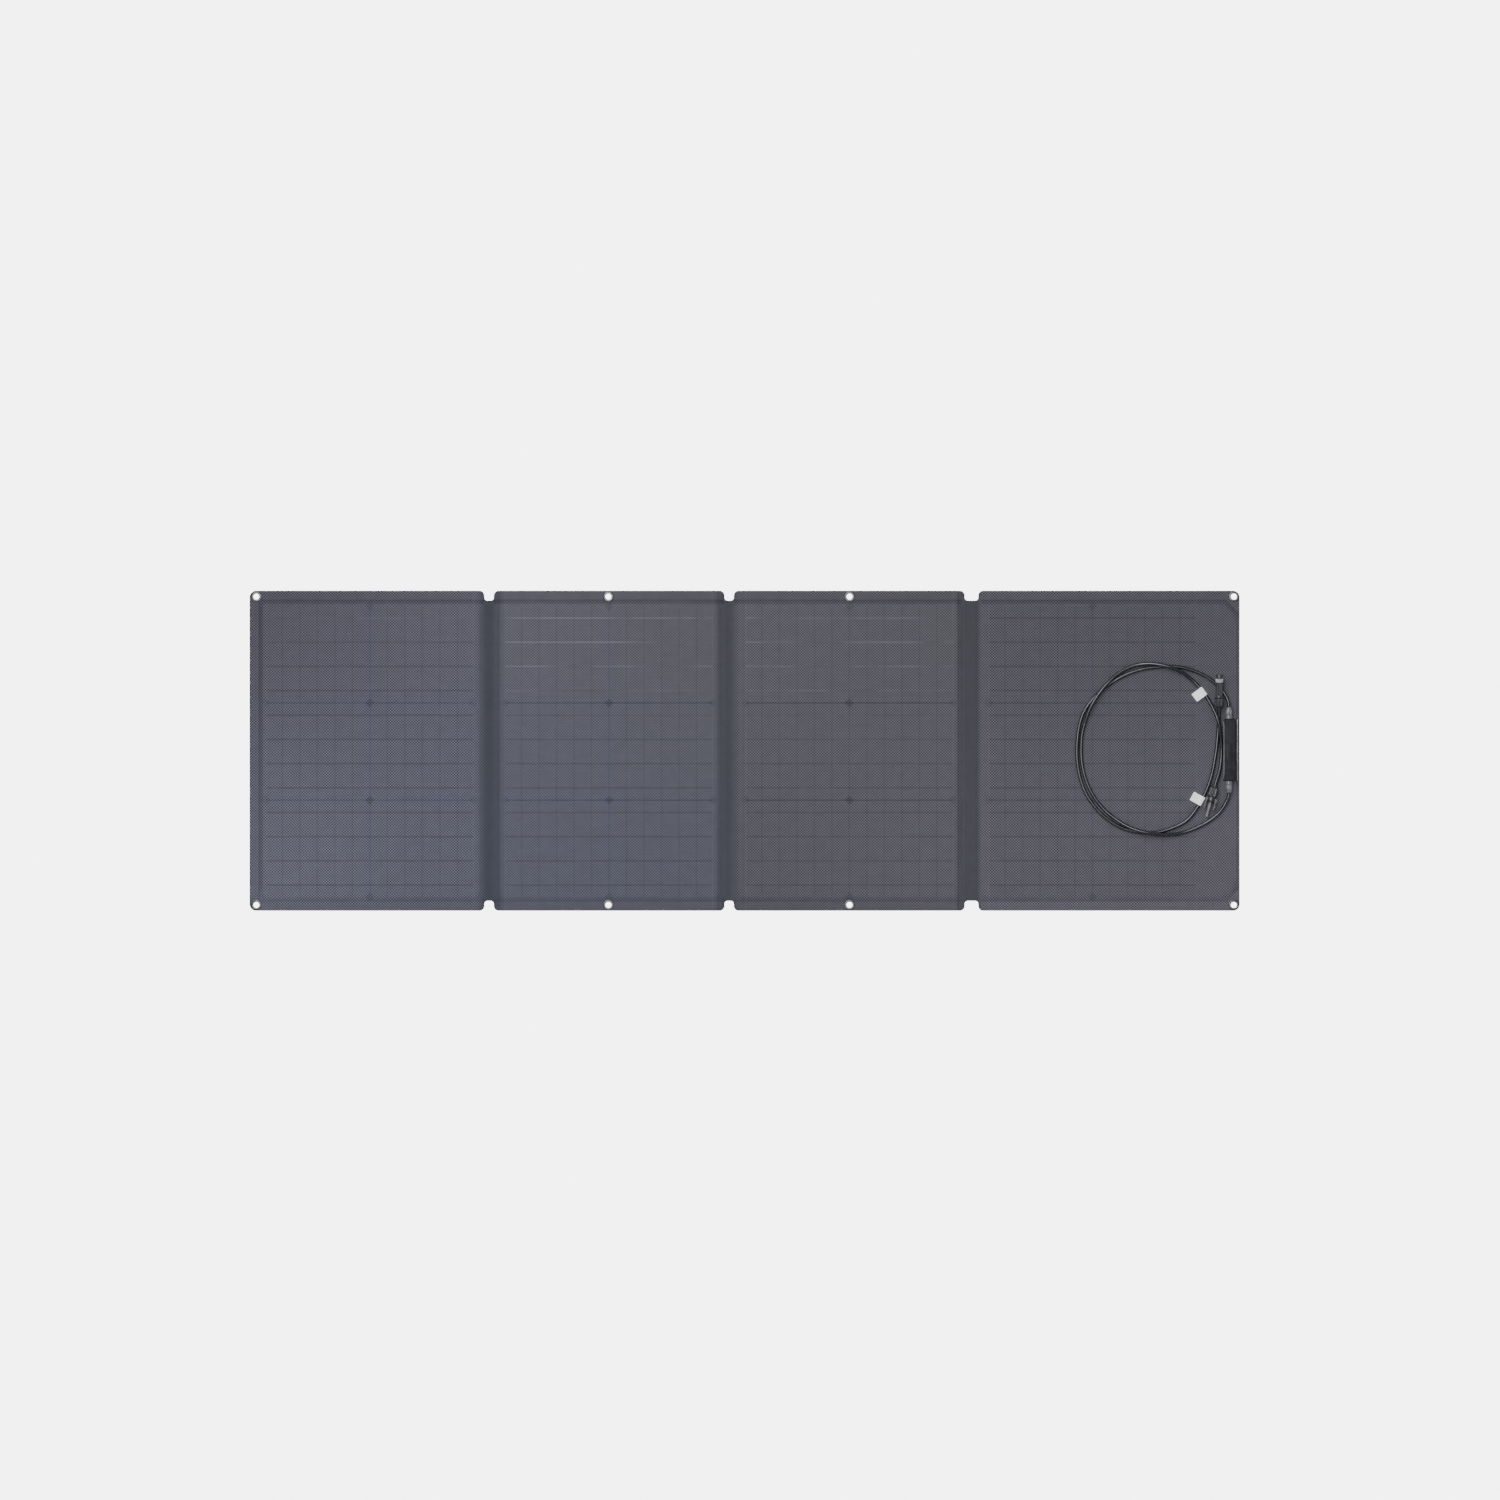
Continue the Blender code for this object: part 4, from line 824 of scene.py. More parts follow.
def cell_relief(x, y):
    """Slight print-through of busbars, cell gaps and the edges of the cell field."""

    def ridge(distance, half_width):
        return LINE_RELIEF * np.exp(-((distance / half_width) ** 2))

    y = y - CELL_SHIFT_Y
    in_row = np.abs(y - CELL_ROW_PITCH * np.round(y / CELL_ROW_PITCH))
    to_bar = np.abs(np.abs(in_row - BUSBAR_PITCH) - BUSBAR_PITCH / 2)
    lines = ridge(to_bar, 0.0010) - ridge(CELL_ROW_PITCH / 2 - in_row, 0.0010)
    rows = smooth((FIELD_HALF_HEIGHT - np.abs(y)) / 0.002)
    relief = 0.0
    for centre in CELL_FIELD_CENTRES:
        across = np.abs(x - centre)
        field = smooth((FIELD_HALF_WIDTH - across) / 0.002) * rows
        relief = relief + field * (lines - ridge(across, 0.0014) + FIELD_RELIEF)
    return relief


def waviness(x, y):
    """Long soft waves, as a laminate has that has been folded and laid out."""
    slow = wave(x / 0.118 + 0.31) * wave(y / 0.163 + 0.12)
    quick = wave((0.7 * x + y) / 0.071 + 0.4) * wave(x / 0.29 + 0.2)
    return WAVE_HEIGHTS[0] * slow + WAVE_HEIGHTS[1] * quick


def border_ripple(x, y):
    """Lift of the free border, nothing at the eyelets, at the folds and on the raised part."""
    reach = smooth(1 - (HALF_HEIGHT - np.abs(y)) / 0.02)
    lift = 0.5 + 0.5 * wave(x / 0.127 + 0.17 * np.sign(y))
    for centre in EYELET_CENTRES:
        lift = lift * smooth((np.hypot(x - centre.x, y - centre.y) - 0.012) / 0.03)
    for left, right in FOLD_SPANS.values():
        lift = lift * smooth((np.maximum(left - x, x - right) - 0.004) / 0.03)
    return RIPPLE_HEIGHT * reach * lift


def edge_roll(x, y):
    """1 on the very edge of the sheet, 0 half a millimetre inside it."""
    inset = edge_height(x) - np.abs(y)
    side = END - np.abs(x)
    return np.clip(1 - np.minimum(inset, side) / EDGE_ROLL, 0.0, 1.0) ** 2


def film_bottom(x, y):
    rise = core_rise(x, y)
    level = FILM_BORDER_Z + (FILM_CORE_Z - FILM_BORDER_Z) * rise - FILM_THICKNESS
    return level + rise * waviness(x, y) + border_ripple(x, y)


def film_top(x, y):
    detail = core_rise(x, y) * cell_relief(x, y) - groove_depth(x, y) - EDGE_ROLL_DEPTH * edge_roll(x, y)
    return film_bottom(x, y) + FILM_THICKNESS + detail


def fabric_bottom(x, y):
    """A little over the floor under the border, closer to it in each fold and on it under the raised part."""
    base = FABRIC_BORDER_Z
    for left, right in FOLD_SPANS.values():
        share = smooth((np.minimum(x - left, right - x) + 0.001) / 0.004)
        base = base + (FABRIC_FOLD_Z - FABRIC_BORDER_Z) * share
    return base * (1 - core_rise(x, y)) + border_ripple(x, y)


def fabric_top(x, y):
    return fabric_bottom(x, y) + FABRIC_THICKNESS


def spread(marks, start, end, step):
    """Sorted places from start to end, no further apart than the step, that hold the marks between them.

    A mark closer than LEAST_GAP to the place before it is left out.
    """
    kept = sorted({round(m, 7) for m in [start, end, *marks] if start - 1e-9 <= m <= end + 1e-9})
    places = [kept[0]]
    for mark in kept[1:]:
        previous = places[-1]
        gap = mark - previous
        if gap >= LEAST_GAP or mark == kept[-1]:
            count = max(1, math.ceil(gap / step - 1e-6))
            places += [previous + gap * (i + 1) / count for i in range(count)]
    return np.array(places)


def column_marks(fine):
    """X of the columns where the outline turns and the slopes lie, and in the film also the cells' edges."""
    marks = []
    for angle in [math.radians(a) for a in range(0, 91, 10)]:
        lip = NOTCH_LIP_RADIUS * (1 - math.sin(angle))
        root = NOTCH_ROOT_RADIUS * (1 - math.cos(angle))
        for left, right in NOTCH_SPANS:
            marks += [left - lip, right + lip, left + root, right - root]
        turn = OUTER_CORNER_RADIUS * (1 - math.sin(angle))
        marks += [turn - END, END - turn]
    for left, right in LEAF_EXTENTS:
        for inset in LEAF_END_INSETS:
            marks += [left + inset, right - inset]
    if fine:
        for centre in CELL_FIELD_CENTRES:
            for away in (0.0, 0.0009, 0.0018, 0.003, FIELD_HALF_WIDTH, FIELD_HALF_WIDTH - 0.002):
                marks += [centre - away, centre + away]
        marks += [START + inset for inset in BORDER_INSETS]
        marks += [END - inset for inset in BOX_SIDE_INSETS]
    return marks


def row_marks(fine):
    """Resting Y of each row of vertices at full height."""
    marks = [CORE_Y, HALF_HEIGHT]
    if fine:
        marks += [HALF_HEIGHT - inset for inset in BORDER_INSETS]
        marks += [CELL_ROW_PITCH / 2, CELL_ROW_PITCH * 1.5]
        lines = [CELL_ROW_PITCH / 2, FIELD_HALF_HEIGHT - 0.001]
        for row in (-1, 0, 1):
            lines += [row * CELL_ROW_PITCH + k * BUSBAR_PITCH for k in (-1.5, -0.5, 0.5, 1.5)]
        for away in (-0.0016, -0.0008, 0.0, 0.0008, 0.0016):
            marks += [place + away for place in lines if place > 0]
    else:
        marks += [0.0, *(HALF_HEIGHT - inset for inset in FABRIC_INSETS)]
    return marks + [-m for m in marks]


def sheet_shell(name, columns, rows, top, bottom, material):
    """Closed shell between two height functions over columns of x and rows of resting y."""
    share = (np.abs(rows) - CORE_Y) / (HALF_HEIGHT - CORE_Y)
    x = np.repeat(columns[:, None], len(rows), axis=1)
    edge = edge_height(columns)[:, None]
    y = np.where(np.abs(rows) <= CORE_Y, rows, np.sign(rows) * (CORE_Y + (edge - CORE_Y) * share))
    points = np.vstack([np.stack([x, y, height(x, y)], -1).reshape(-1, 3) for height in (top, bottom)])
    along, half = len(rows), x.size
    last = half - along
    faces = []
    for first in range(0, last, along):
        for a in range(first, first + along - 1):
            b = a + along
            faces.append((a, b, b + 1, a + 1))
            faces.append((half + a, half + a + 1, half + b + 1, half + b))
    for a in range(0, last, along):
        b = a + along
        faces.append((a, half + a, half + b, b))
        a, b = a + along - 1, b + along - 1
        faces.append((b, half + b, half + a, a))
    for a in range(along - 1):
        b = last + a
        faces.append((a + 1, half + a + 1, half + a, a))
        faces.append((b, half + b, half + b + 1, b + 1))
    mesh = bpy.data.meshes.new(name)
    mesh.from_pydata(points.tolist(), [], faces)
    layer = mesh.uv_layers.new(name="sheet")
    corners = np.zeros(len(mesh.loops), np.int32)
    mesh.loops.foreach_get("vertex_index", corners)
    layer.data.foreach_set("uv", points[corners, :2].astype(np.float32).ravel())
    mesh.update()
    obj = add_object(name, mesh, material)
    shade(obj, 50.0)
    return obj


def drill_eyelet_holes(obj, leaf):
    """Cuts the two holes that the leaf's eyelets sit in."""
    bm = bmesh.new()
    for (_, owner), centre in zip(EYELETS, EYELET_CENTRES):
        if owner == leaf:
            bmesh.ops.create_cone(
                bm, cap_ends=True, segments=48, radius1=HOLE_RADIUS, radius2=HOLE_RADIUS, depth=0.02,
                matrix=Matrix.Translation((centre.x, centre.y, 0.0)),
            )
    mesh = mesh_from_bmesh("drill", bm)
    drill = add_object("drill", mesh)
    cut = obj.modifiers.new("eyelet_holes", "BOOLEAN")
    cut.operation = "DIFFERENCE"
    cut.solver = "EXACT"
    cut.object = drill
    bpy.context.view_layer.update()
    evaluated = obj.evaluated_get(bpy.context.evaluated_depsgraph_get())
    drilled = bpy.data.meshes.new_from_object(evaluated)
    obj.modifiers.clear()
    obj.data = drilled
    bpy.data.objects.remove(drill, do_unlink=True)
    bpy.data.meshes.remove(mesh)


def build_layer(name, node, fine, start, end, step, material):
    """The film, or the cloth where not fine, between two X places."""
    if fine:
        heights, row_step, slot = (film_top, film_bottom), FILM_STEP, "front_film"
    else:
        heights, row_step, slot = (fabric_top, fabric_bottom), FABRIC_STEP, "rear_fabric"
    columns = spread(column_marks(fine), start, end, step)
    rows = spread(row_marks(fine), -HALF_HEIGHT, HALF_HEIGHT, row_step)
    return seat(sheet_shell(name, columns, rows, *heights, material), node, None)


def fold_cuts(letter):
    """X of a fold's left, middle and right cut, and the width of each of its two bends."""
    near, far = JOINT_X[f"fold_{letter}_spine"], JOINT_X[f"fold_{letter}"]
    reach = min(BEND_REACH, (near - far) / 2)
    return far - reach, (near + far) / 2, near + reach, 2 * reach


def build_fold(letter, weave):
    """Film, cloth and copper ribbon of both half strips. Returns the cloth halves, the right one first."""
    film_look = film_material(f"fold_film_{letter}_look", None, (letter,))
    copper = metal_material(f"fold_copper_{letter}", (0.72, 0.45, 0.30), 0.34)
    low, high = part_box(f"fold_jumper_{letter}")
    left, middle, right, bend = fold_cuts(letter)
    index = FOLD_LETTERS.index(letter)
    halves = (
        ("right", middle, right, LEAF_BODIES[index + 1], right, f"spine_{letter}", right - bend),
        ("left", left, middle, f"spine_{letter}", left + bend, LEAF_BODIES[index], left),
    )
    joined = []
    for tag, start, end, body_1, bend_1, body_2, bend_2 in halves:
        span = (start, end, FOLD_STEP)
        film = build_layer(f"fold_film_{letter}_{tag}", f"fold_film_{letter}", True, *span, film_look)
        cloth = build_layer(f"fold_cloth_{letter}_{tag}", f"fold_fabric_{letter}", False, *span, weave)
        ribbon = sheet_shell(
            f"fold_ribbon_{letter}_{tag}", np.linspace(max(start, low.x), min(end, high.x), 10),
            np.linspace(low.y, high.y, 9), lambda x, y: np.full(x.shape, high.z),
            lambda x, y: np.full(x.shape, low.z), copper,
        )
        seat(ribbon, f"fold_jumper_{letter}", None)
        for piece in (film, cloth, ribbon):
            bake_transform(piece)
        joined.append(cloth)
    return joined


def build_sheet():
    """Film and fabric of the four leaves and the three folds."""
    weave = fabric_material("rear_weave")
    strips = {letter: build_fold(letter, weave) for letter in FOLD_LETTERS}
    cuts = [START]
    for letter in FOLD_LETTERS:
        left, _, right, _ = fold_cuts(letter)
        cuts += [left, right]
    cuts.append(END)
    for index, body in enumerate(LEAF_BODIES):
        number = index + 1
        start, end = cuts[2 * index:2 * index + 2]
        letters = FOLD_LETTERS[max(index - 1, 0):number]
        look = film_material(f"film_{number}", index, letters)
        film = build_layer(f"film_leaf_{number}", f"front_film_{number}", True, start, end, FILM_STEP, look)
        cloth = build_layer(
            f"rear_cloth_{number}", f"rear_fabric_{number}", False, start, end, FABRIC_STEP, weave,
        )
        for layer in (film, cloth):
            drill_eyelet_holes(layer, index)
            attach(layer, body)


# Eyelets


def build_eyelets():
    """Rolled metal eyelets, the same at each of the eight places."""
    nickel = metal_material("eyelet_nickel", (0.13, 0.13, 0.135), 0.34)
    roll, bore = EYELET_ROLL, EYELET_BORE_RADIUS
    for (tag, leaf), centre in zip(EYELETS, EYELET_CENTRES):
        low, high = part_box(f"eyelet_{tag}")
        radius = (high.x - low.x) / 2
        half = (radius - bore) / 2
        profile = []
        for step in range(13):
            angle = math.radians(-20 + step * 220 / 12)
            profile.append((bore + half + half * math.cos(angle), high.z - roll + roll * math.sin(angle)))
        profile += [
            (bore, low.z + 0.0003), (bore + 0.0002, low.z), (bore + 0.0005, low.z),
            (bore + 0.0006, high.z - 0.0011), (radius - 0.0004, high.z - 0.0011),
        ]
        eyelet = turned(f"eyelet_rim_{tag}", profile, Matrix.Translation((centre.x, centre.y, 0.0)), nickel)
        seat(eyelet, f"eyelet_{tag}", LEAF_BODIES[leaf])


# Cords, labels and plugs


def smooth_route(points):
    """Dense samples of a centripetal Catmull-Rom curve through the route points."""
    points = [Vector(point) for point in points]
    padded = [2 * points[0] - points[1], *points, 2 * points[-1] - points[-2]]
    samples = []
    for four in zip(padded, padded[1:], padded[2:], padded[3:]):
        times = [0.0]
        for a, b in zip(four, four[1:]):
            times.append(times[-1] + math.sqrt((b - a).length))
        for step in range(ROUTE_STEPS):
            t = times[1] + (times[2] - times[1]) * step / ROUTE_STEPS
            level = four
            for spans in (((0, 1), (1, 2), (2, 3)), ((0, 2), (1, 3)), ((1, 2),)):
                shares = [(t - times[i]) / (times[j] - times[i]) for i, j in spans]
                level = [a + (b - a) * share for a, b, share in zip(level, level[1:], shares)]
            samples.append(level[0])
    samples.append(points[-1])
    return samples


def even_samples(samples, spacing):
    """Places along the samples that are all the same distance apart, close to the spacing."""
    lengths = [0.0]
    for a, b in zip(samples, samples[1:]):
        lengths.append(lengths[-1] + (b - a).length)
    places = np.linspace(0.0, lengths[-1], round(lengths[-1] / spacing) + 1)
    return [Vector(point) for point in zip(*(np.interp(places, lengths, axis) for axis in zip(*samples)))]


def gland_exit(gland_sign):
    return (GLAND_X, BOX_Y + gland_sign * (BOX_LENGTH / 2 + GLAND_GAP + GLAND_LENGTH), GLAND_Z)


def cable_points(route, gland_sign, plug_rear, plug_axis):
    """Route with straight ends inside the gland's bore and inside the plug's bore."""
    _, exit_y, _ = gland_exit(gland_sign)
    axis, rear = Vector(plug_axis).normalized(), Vector(plug_rear)
    return [
        (GLAND_X, exit_y - gland_sign * CABLE_INSERTION, GLAND_Z),
        (GLAND_X, exit_y, GLAND_Z),
        (GLAND_X - 0.0001, exit_y + gland_sign * CABLE_LEAD_OUT, GLAND_Z - 0.0001),
        *route,
        rear - axis * CABLE_LEAD_OUT,
        rear,
        rear + axis * CABLE_INSERTION,
    ]


def build_cable(name, node, points, material):
    curve = bpy.data.curves.new(name, "CURVE")
    curve.dimensions = "3D"
    curve.bevel_depth = CABLE_RADIUS
    curve.bevel_resolution = 7
    curve.use_fill_caps = True
    samples = even_samples(smooth_route(points), CABLE_SAMPLE)
    spline = curve.splines.new("POLY")
    spline.points.add(len(samples) - 1)
    for point, sample in zip(spline.points, samples):
        point.co = (*sample, 1.0)
    spline.use_smooth = True
    return seat(add_object(name, curve, material), node), samples


def build_label(name, node, samples, near, material):
    """White flag label folded round the cord, its two layers laid together towards the loop's middle."""
    target = Vector(near)
    index = min(range(4, len(samples) - 4), key=lambda i: (samples[i].xy - target).length)
    origin = samples[index]
    along = (samples[index + 3] - samples[index - 3]).normalized()
    inward = Vector((*CABLE_LOOP_CENTRE, origin.z)) - origin
    inward = (inward - along * inward.dot(along)).normalized()
    lift = along.cross(inward).normalized()
    if lift.z < 0:
        lift.negate()
    length, tail, thickness, radius, gap = 0.0150, 0.0172, 0.00022, 0.0032, 0.00020
    tail_steps, loop_steps, rows = 8, 32, 7
    level = (gap + thickness) / 2
    start_angle = math.asin(level / radius)
    line = [(tail - (tail - radius) * i / tail_steps, level) for i in range(tail_steps)]
    for step in range(loop_steps + 1):
        angle = start_angle + 2 * (math.pi - start_angle) * step / loop_steps
        line.append((radius * math.cos(angle), radius * math.sin(angle)))
    line += [(u, -v) for u, v in reversed(line[:tail_steps])]
    path = []
    for i, (u, v) in enumerate(line):
        on_loop = tail_steps < i < tail_steps + loop_steps
        normal = (u / radius, v / radius) if on_loop else (0.0, math.copysign(1.0, v))
        path.append((u, v, *normal))
    bm = bmesh.new()
    rings = []
    for k in range(rows):
        share = k / (rows - 1)
        ring = []
        for offset, points in ((thickness / 2, path), (-thickness / 2, path[::-1])):
            for u, v, across, up in points:
                far = max(0.0, u - radius) / tail
                curl = 0.0011 * far * far + 0.0005 * far * math.sin(2.2 * share + 0.4)
                ring.append(bm.verts.new(
                    origin + along * (share - 0.5) * length + inward * (u + across * offset)
                    + lift * (v + up * offset + curl)
                ))
        rings.append(ring)
    join_rings(bm, rings)
    for ring in (rings[0], rings[-1]):
        for i in range(len(path) - 1):
            bm.faces.new((ring[i], ring[-1 - i], ring[-2 - i], ring[i + 1]))
    return seat(object_from_bmesh(name, bm, material), node)


def plug_nut(number, place, length, material):
    name, reach = f"plug_{number}", 0.00725
    corners = [
        (0.0030, 0.0), (0.0042, 0.0), (0.0047, 0.0022), (0.0060, 0.0028), (reach, 0.0046),
        (reach, length - 0.0012), (reach - 0.0008, length), (0.0030, length),
    ]
    rule = flutes(14, 0.0009, 0.0035, length - 0.0008, 0.0062)
    return fitting(
        f"{name}_cap_nut", f"{name}_nut", corners, 0.0005, place, material, 168, rule,
    )


def build_plug_1(black, tube_look):
    """Plug with two latch arms beside a round contact tube."""
    place = axis_frame(PLUG_1_REAR, PLUG_1_AXIS)
    nut = plug_nut(1, place, 0.0186, black)
    corners = [
        (0.0027, 0.0188), (0.0058, 0.0188), (0.0062, 0.0193), (0.0062, 0.0206), (0.0067, 0.0212),
        (0.0067, 0.0250), (0.0058, 0.0262), (0.0046, 0.0266), (0.0046, 0.0282), (0.0027, 0.0286),
    ]
    neck = fitting("plug_1_neck", "plug_1_body", corners, 0.0003, place, black)
    outline = (
        (0.0050, 0.0205), (0.0088, 0.0203), (0.0096, 0.0212), (0.0099, 0.0226), (0.0098, 0.0248),
        (0.0088, 0.0264), (0.0084, 0.0288), (0.0085, 0.0315), (0.0093, 0.0328), (0.0094, 0.0346),
        (0.0088, 0.0368), (0.0076, 0.0396), (0.0070, 0.0402), (0.0064, 0.0398), (0.0066, 0.0330),
        (0.0064, 0.0275), (0.0060, 0.0248), (0.0050, 0.0240),
    )
    arm = [Vector(point) for point in outline]
    middle = sum(arm, Vector((0.0, 0.0))) / len(arm)
    half_width, edge, shrink = 0.0031, 0.0004, 0.00035
    levels = ((-half_width, shrink), (edge - half_width, 0.0), (half_width - edge, 0.0), (half_width, shrink))
    bm = bmesh.new()
    for sign in (1.0, -1.0):
        rings = []
        for level, inset in levels:
            points = [point - (point - middle).normalized() * inset for point in arm]
            rings.append([bm.verts.new((sign * point.x, level, point.y)) for point in points])
        join_rings(bm, rings)
        bm.faces.new(rings[0])
        bm.faces.new(rings[-1])
    bmesh.ops.transform(bm, matrix=place, verts=bm.verts)
    arms = seat(object_from_bmesh("plug_1_latch_arms", bm, black, 40.0), "plug_1_body")
    corners = [
        (0.0013, 0.0200), (0.0024, 0.0200), (0.0024, 0.0420), (0.0021, 0.0424), (0.0021, 0.0436),
        (0.0024, 0.0440), (0.0024, 0.0505), (0.0019, 0.0520), (0.0013, 0.0520),
    ]
    tube = fitting("plug_1_tube", "plug_1_contact", corners, 0.0002, place, tube_look, 48)
    return [nut, neck, arms, tube]


def build_plug_2(black, ring_look):
    """Plug with a long ridged socket body and a pale seal ring near its mouth."""
    place = axis_frame(PLUG_2_REAR, PLUG_2_AXIS)
    nut = plug_nut(2, place, 0.0170, black)
    corners = [
        (0.0036, 0.0172), (0.0058, 0.0172), (0.0061, 0.0178), (0.0061, 0.0198), (0.0056, 0.0208),
        (0.0056, 0.0222), (0.0056, 0.0408), (0.0056, 0.0420), (0.0050, 0.0428), (0.0047, 0.0428),
        (0.0047, 0.0492), (0.0053, 0.0492), (0.0056, 0.0500), (0.0056, 0.0512), (0.0052, 0.0545),
        (0.0048, 0.0550), (0.0036, 0.0550),
    ]
    rule = flutes(8, 0.0009, 0.0215, 0.0415, 0.0050, 2)
    body = fitting("plug_2_socket", "plug_2_body", corners, 0.0003, place, black, 96, rule)
    corners = [
        (0.0050, 0.0430), (0.0060, 0.0430), (0.0063, 0.0438), (0.0063, 0.0453), (0.0060, 0.0458),
        (0.0063, 0.0463), (0.0063, 0.0480), (0.0060, 0.0489), (0.0050, 0.0489),
    ]
    ring = fitting("plug_2_ring", "plug_2_seal", corners, 0.0003, place, ring_look)
    return [nut, body, ring]


def build_leads():
    """Both cords with their flags and plugs."""
    jacket = jacket_material("cable_jacket_look")
    paper = paper_material("label_paper_look")
    black = plastic_material("plug_plastic_look", (0.026, 0.026, 0.033), 0.30, gloss=1.0)
    plug_1 = build_plug_1(black, plastic_material("contact_tube_look", (0.20, 0.20, 0.215), 0.34))
    plug_2 = build_plug_2(black, rubber_material("plug_seal_look", (0.40, 0.40, 0.42)))
    contact = frame["nodes"]["plug_2_contact"]
    leads = (
        (1, -1.0, ROUTE_1, PLUG_1_REAR, PLUG_1_AXIS, CABLE_1_LENGTH, plug_1, []),
        (2, 1.0, ROUTE_2, PLUG_2_REAR, PLUG_2_AXIS, CABLE_2_LENGTH, plug_2, [contact]),
    )
    for (number, sign, route, rear, axis, length, plug, inner), near in zip(leads, LABEL_POINTS):
        points = cable_points(route, sign, rear, axis)
        cable, samples = build_cable(f"lead_{number}", f"cable_{number}", points, jacket)
        label = build_label(f"tag_{number}", f"cable_label_{number}", samples, near, paper)


# Junction box


def build_glands():
    """Cable glands with shallow flutes, a tapered nose where the cord comes out and a soft insert."""
    look = plastic_material("gland_plastic_look", (0.135, 0.138, 0.150), 0.28, gloss=0.9)
    rubber = rubber_material("gland_insert_look", (0.010, 0.010, 0.011))
    body_corners = [
        (0.0034, 0.0), (0.0056, 0.0), (0.00575, 0.0006), (0.00575, 0.0050), (0.0051, 0.0056),
        (0.0051, 0.0064), (0.00575, 0.0070), (0.00575, 0.0128), (0.0050, 0.0148), (0.0046, 0.0180),
        (0.0041, GLAND_LENGTH), (0.0034, GLAND_LENGTH),
    ]
    insert_corners = [
        (0.0029, 0.0150), (0.00335, 0.0150), (0.00335, 0.0192), (0.0031, 0.0200), (0.0029, 0.0200),
    ]
    rule = flutes(12, 0.00045, 0.0066, 0.0134, 0.0054)
    for tag, sign in (("upper", 1.0), ("lower", -1.0)):
        start = BOX_Y + sign * (BOX_LENGTH / 2 + GLAND_GAP)
        place = axis_frame((GLAND_X, start, GLAND_Z), (0.0, sign, 0.0))
        fitting(
            f"gland_{tag}", f"gland_nut_{tag}", body_corners, 0.0003, place, look, 96, rule,
        )
        fitting(f"gland_insert_{tag}", None, insert_corners, 0.0001, place, rubber, 48)


def build_box_lid():
    """Lid with rounded edges, two clips and plain raised bars where the real one has lettering."""
    low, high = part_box("junction_box_lid")
    middle, size = (low + high) / 2, high - low
    bm = bmesh.new()
    block(bm, middle, size, 0.0009, 4)
    bar_count, bar_pitch = 9, 0.0045
    for i in range(bar_count):
        y = middle.y - 0.008 + (i - (bar_count - 1) / 2) * bar_pitch
        block(bm, (middle.x, y, high.z + 0.00015), (0.0052, 0.0018, 0.0008), 0.0003)
    for sign in (-1.0, 1.0):
        y = middle.y + sign * (size.y / 2 - 0.0062)
        block(bm, (low.x - 0.0004, y, low.z - 0.0006), (0.0018, 0.0052, 0.0034), 0.0004)
    look = plastic_material("box_lid_look", (0.0165, 0.0168, 0.0235), 0.55, 1100.0, 0.00006, 0.25)
    seat(object_from_bmesh("box_lid", bm, look, 30.0), "junction_box_lid")


def build_box_trim():
    """Smooth strips on the box's flange, pale grey as painted highlights: a broad one between the lid's clips
    and a thin rim at the edge.
    """
    low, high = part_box("junction_box_base")
    lid_low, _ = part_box("junction_box_lid")
    middle, length = (low.y + high.y) / 2, high.y - low.y
    strips = (
        # Both strips are pale grey as painted highlights on the flange's edges.
        ("box_clip_rail", low.x, lid_low.x + 0.0002, length - 0.0080, (0.16, 0.16, 0.175)),
        ("box_outer_rim", high.x - 0.0012, high.x + 0.0002, length - 0.0012, (0.40, 0.40, 0.43)),
    )
    for name, left, right, size, colour in strips:
        bm = bmesh.new()
        block(bm, ((left + right) / 2, middle, low.z + 0.0015), (right - left, size, 0.0009), 0.0002)
        strip = object_from_bmesh(name, bm, plastic_material(f"{name}_look", colour, 0.36), 30.0)
        seat(strip, None)


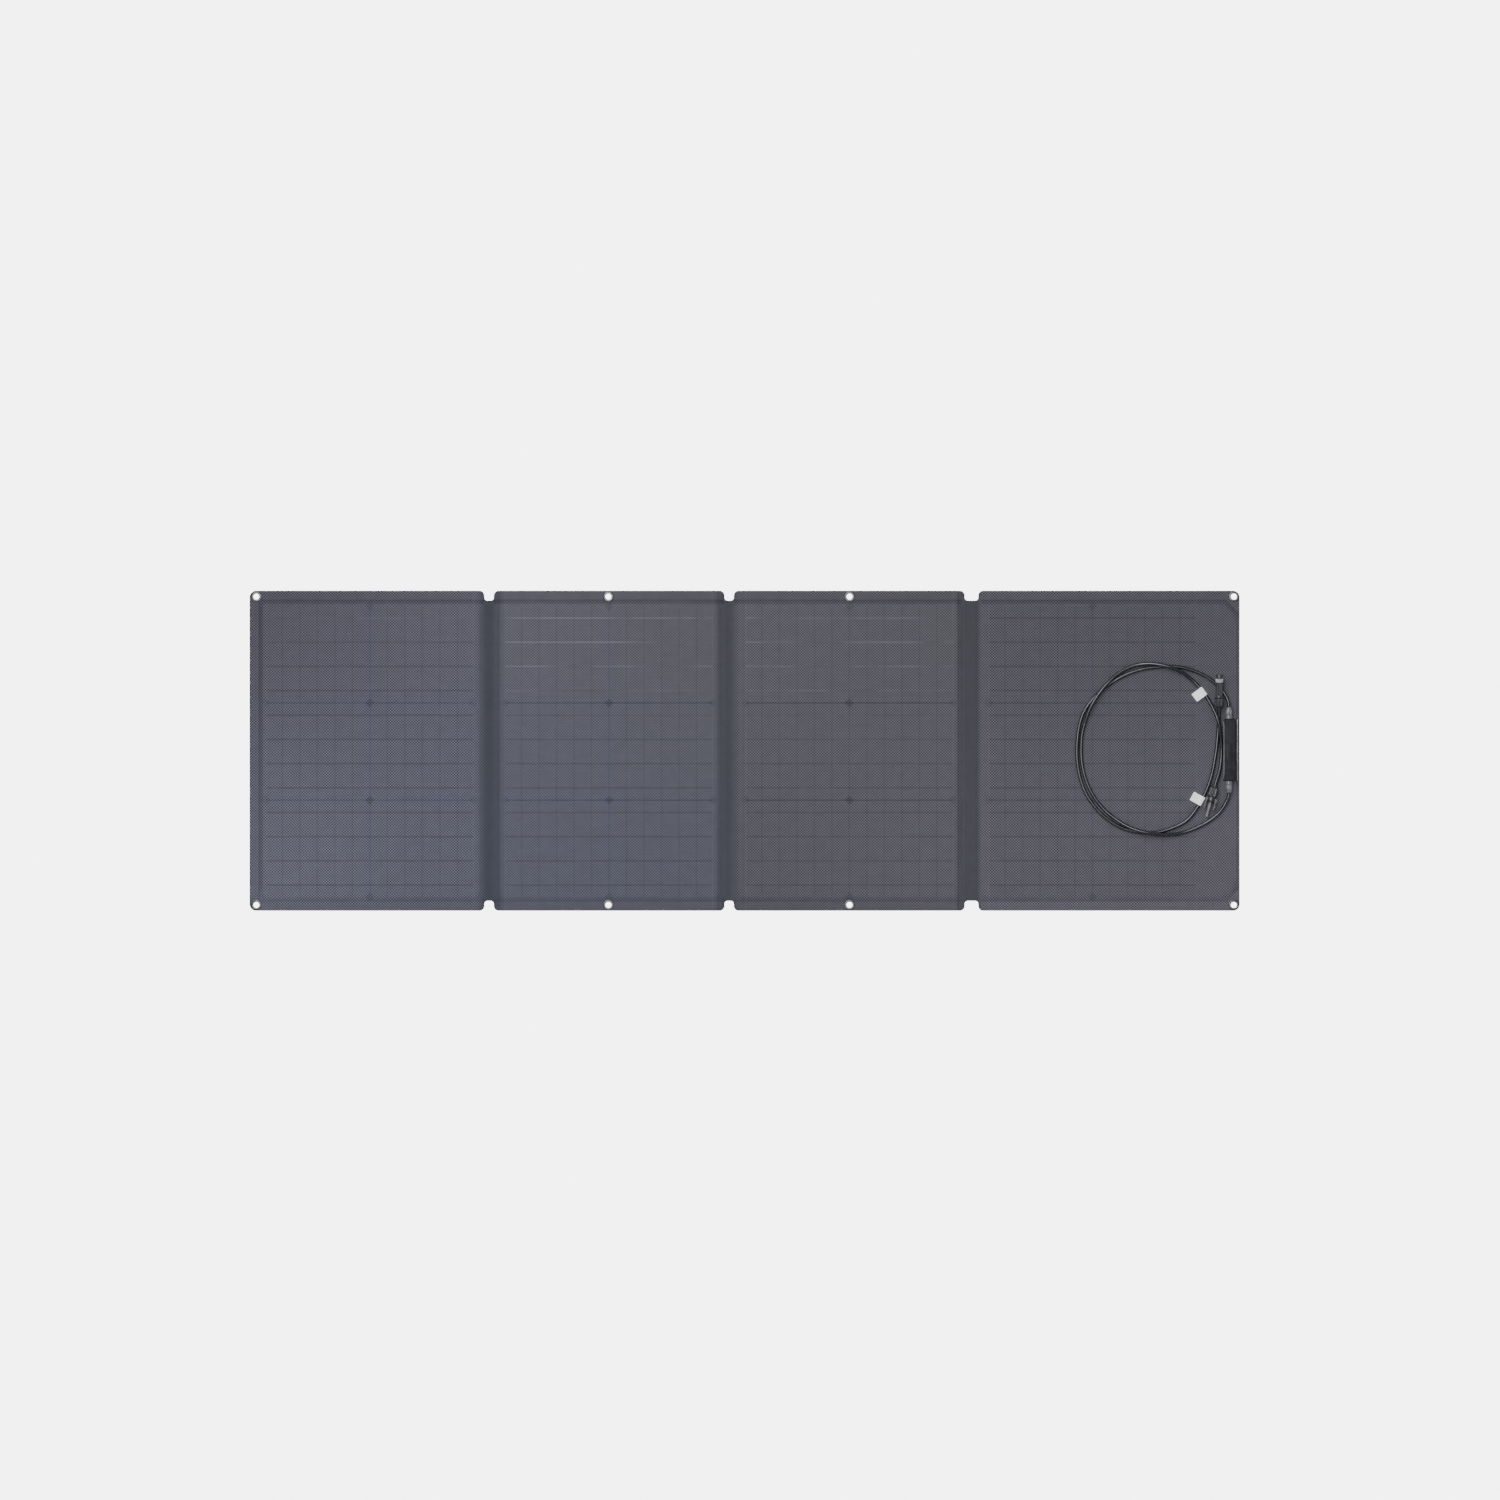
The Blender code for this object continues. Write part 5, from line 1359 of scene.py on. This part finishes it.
def paint_kept_nodes():
    """Materials for the CAD nodes whose shapes stay as they are."""
    black = (0.018, 0.018, 0.020)
    looks = {
        "cell_string": silicon_material("cell_silicon"),
        "backing_board": board_material("board_glass_fibre"),
        "eyelet_washer": metal_material("washer_nickel", (0.70, 0.70, 0.71), 0.33),
        "terminal": metal_material("terminal_brass_look", (0.72, 0.53, 0.24), 0.32),
        "plug_2_contact": metal_material("contact_tin", (0.76, 0.76, 0.75), 0.25),
        "junction_box_base": plastic_material("box_housing_look", black, 0.52, 1100.0, 0.00006, 0.3),
        "junction_box_gasket": rubber_material("box_gasket_look", (0.010, 0.010, 0.010)),
        "bypass_diode": plastic_material("diode_epoxy", (0.012, 0.012, 0.012), 0.30),
    }
    for name, node in frame["nodes"].items():
        for start, look in looks.items():
            if name.startswith(start):
                node.data.materials.clear()
                node.data.materials.append(look)


# Camera, floor and light


def build_camera():
    camera = bpy.data.cameras.new("camera")
    camera.sensor_width = SENSOR_WIDTH
    camera.lens = SENSOR_WIDTH * CAMERA_DISTANCE / FIELD_WIDTH
    camera.clip_end = 100.0
    obj = add_object("camera", camera)
    obj.location = (*CAMERA_POINT, CAMERA_DISTANCE)
    bpy.context.scene.camera = obj


def build_floor():
    """White floor that shows bright to the camera and lights the sheet like a matt white table."""
    bm = bmesh.new()
    bmesh.ops.create_grid(bm, x_segments=2, y_segments=2, size=FLOOR_SIZE / 2)
    graph = Graph("floor_white")
    graph.set(Base_Color=(0.80, 0.80, 0.80), Roughness=0.9)
    glow = graph.node("ShaderNodeEmission", (1.0, 1.0, 1.0), FLOOR_GLOW)
    path = graph.node("ShaderNodeLightPath")
    share = graph.mul(path.outputs["Is Camera Ray"], GLOW_SHARE)
    both = graph.node("ShaderNodeMixShader", share, graph.shader.outputs[0], glow.outputs[0])
    graph.feed(graph.nodes["Material Output"].inputs["Surface"], both.outputs[0])
    floor = add_object("floor", mesh_from_bmesh("floor", bm), graph.material)
    floor.location.z = FLOOR_LEVEL


def build_light():
    world = bpy.data.worlds.new("sky")
    world.use_nodes = True
    background = world.node_tree.nodes["Background"]
    background.inputs["Color"].default_value = (0.97, 0.98, 1.0, 1.0)
    background.inputs["Strength"].default_value = SKY_STRENGTH
    bpy.context.scene.world = world
    for name, place, size, power in LAMPS:
        lamp = bpy.data.lights.new(name, "AREA")
        lamp.shape = "SQUARE"
        lamp.size = size
        lamp.energy = power
        obj = add_object(name, lamp)
        obj.location = place
        obj.rotation_euler = (-Vector(place)).to_track_quat("-Z", "Y").to_euler()


build_camera()
build_floor()
build_light()
build_leads()
build_glands()
build_box_lid()
build_box_trim()
build_sheet()
build_eyelets()
paint_kept_nodes()
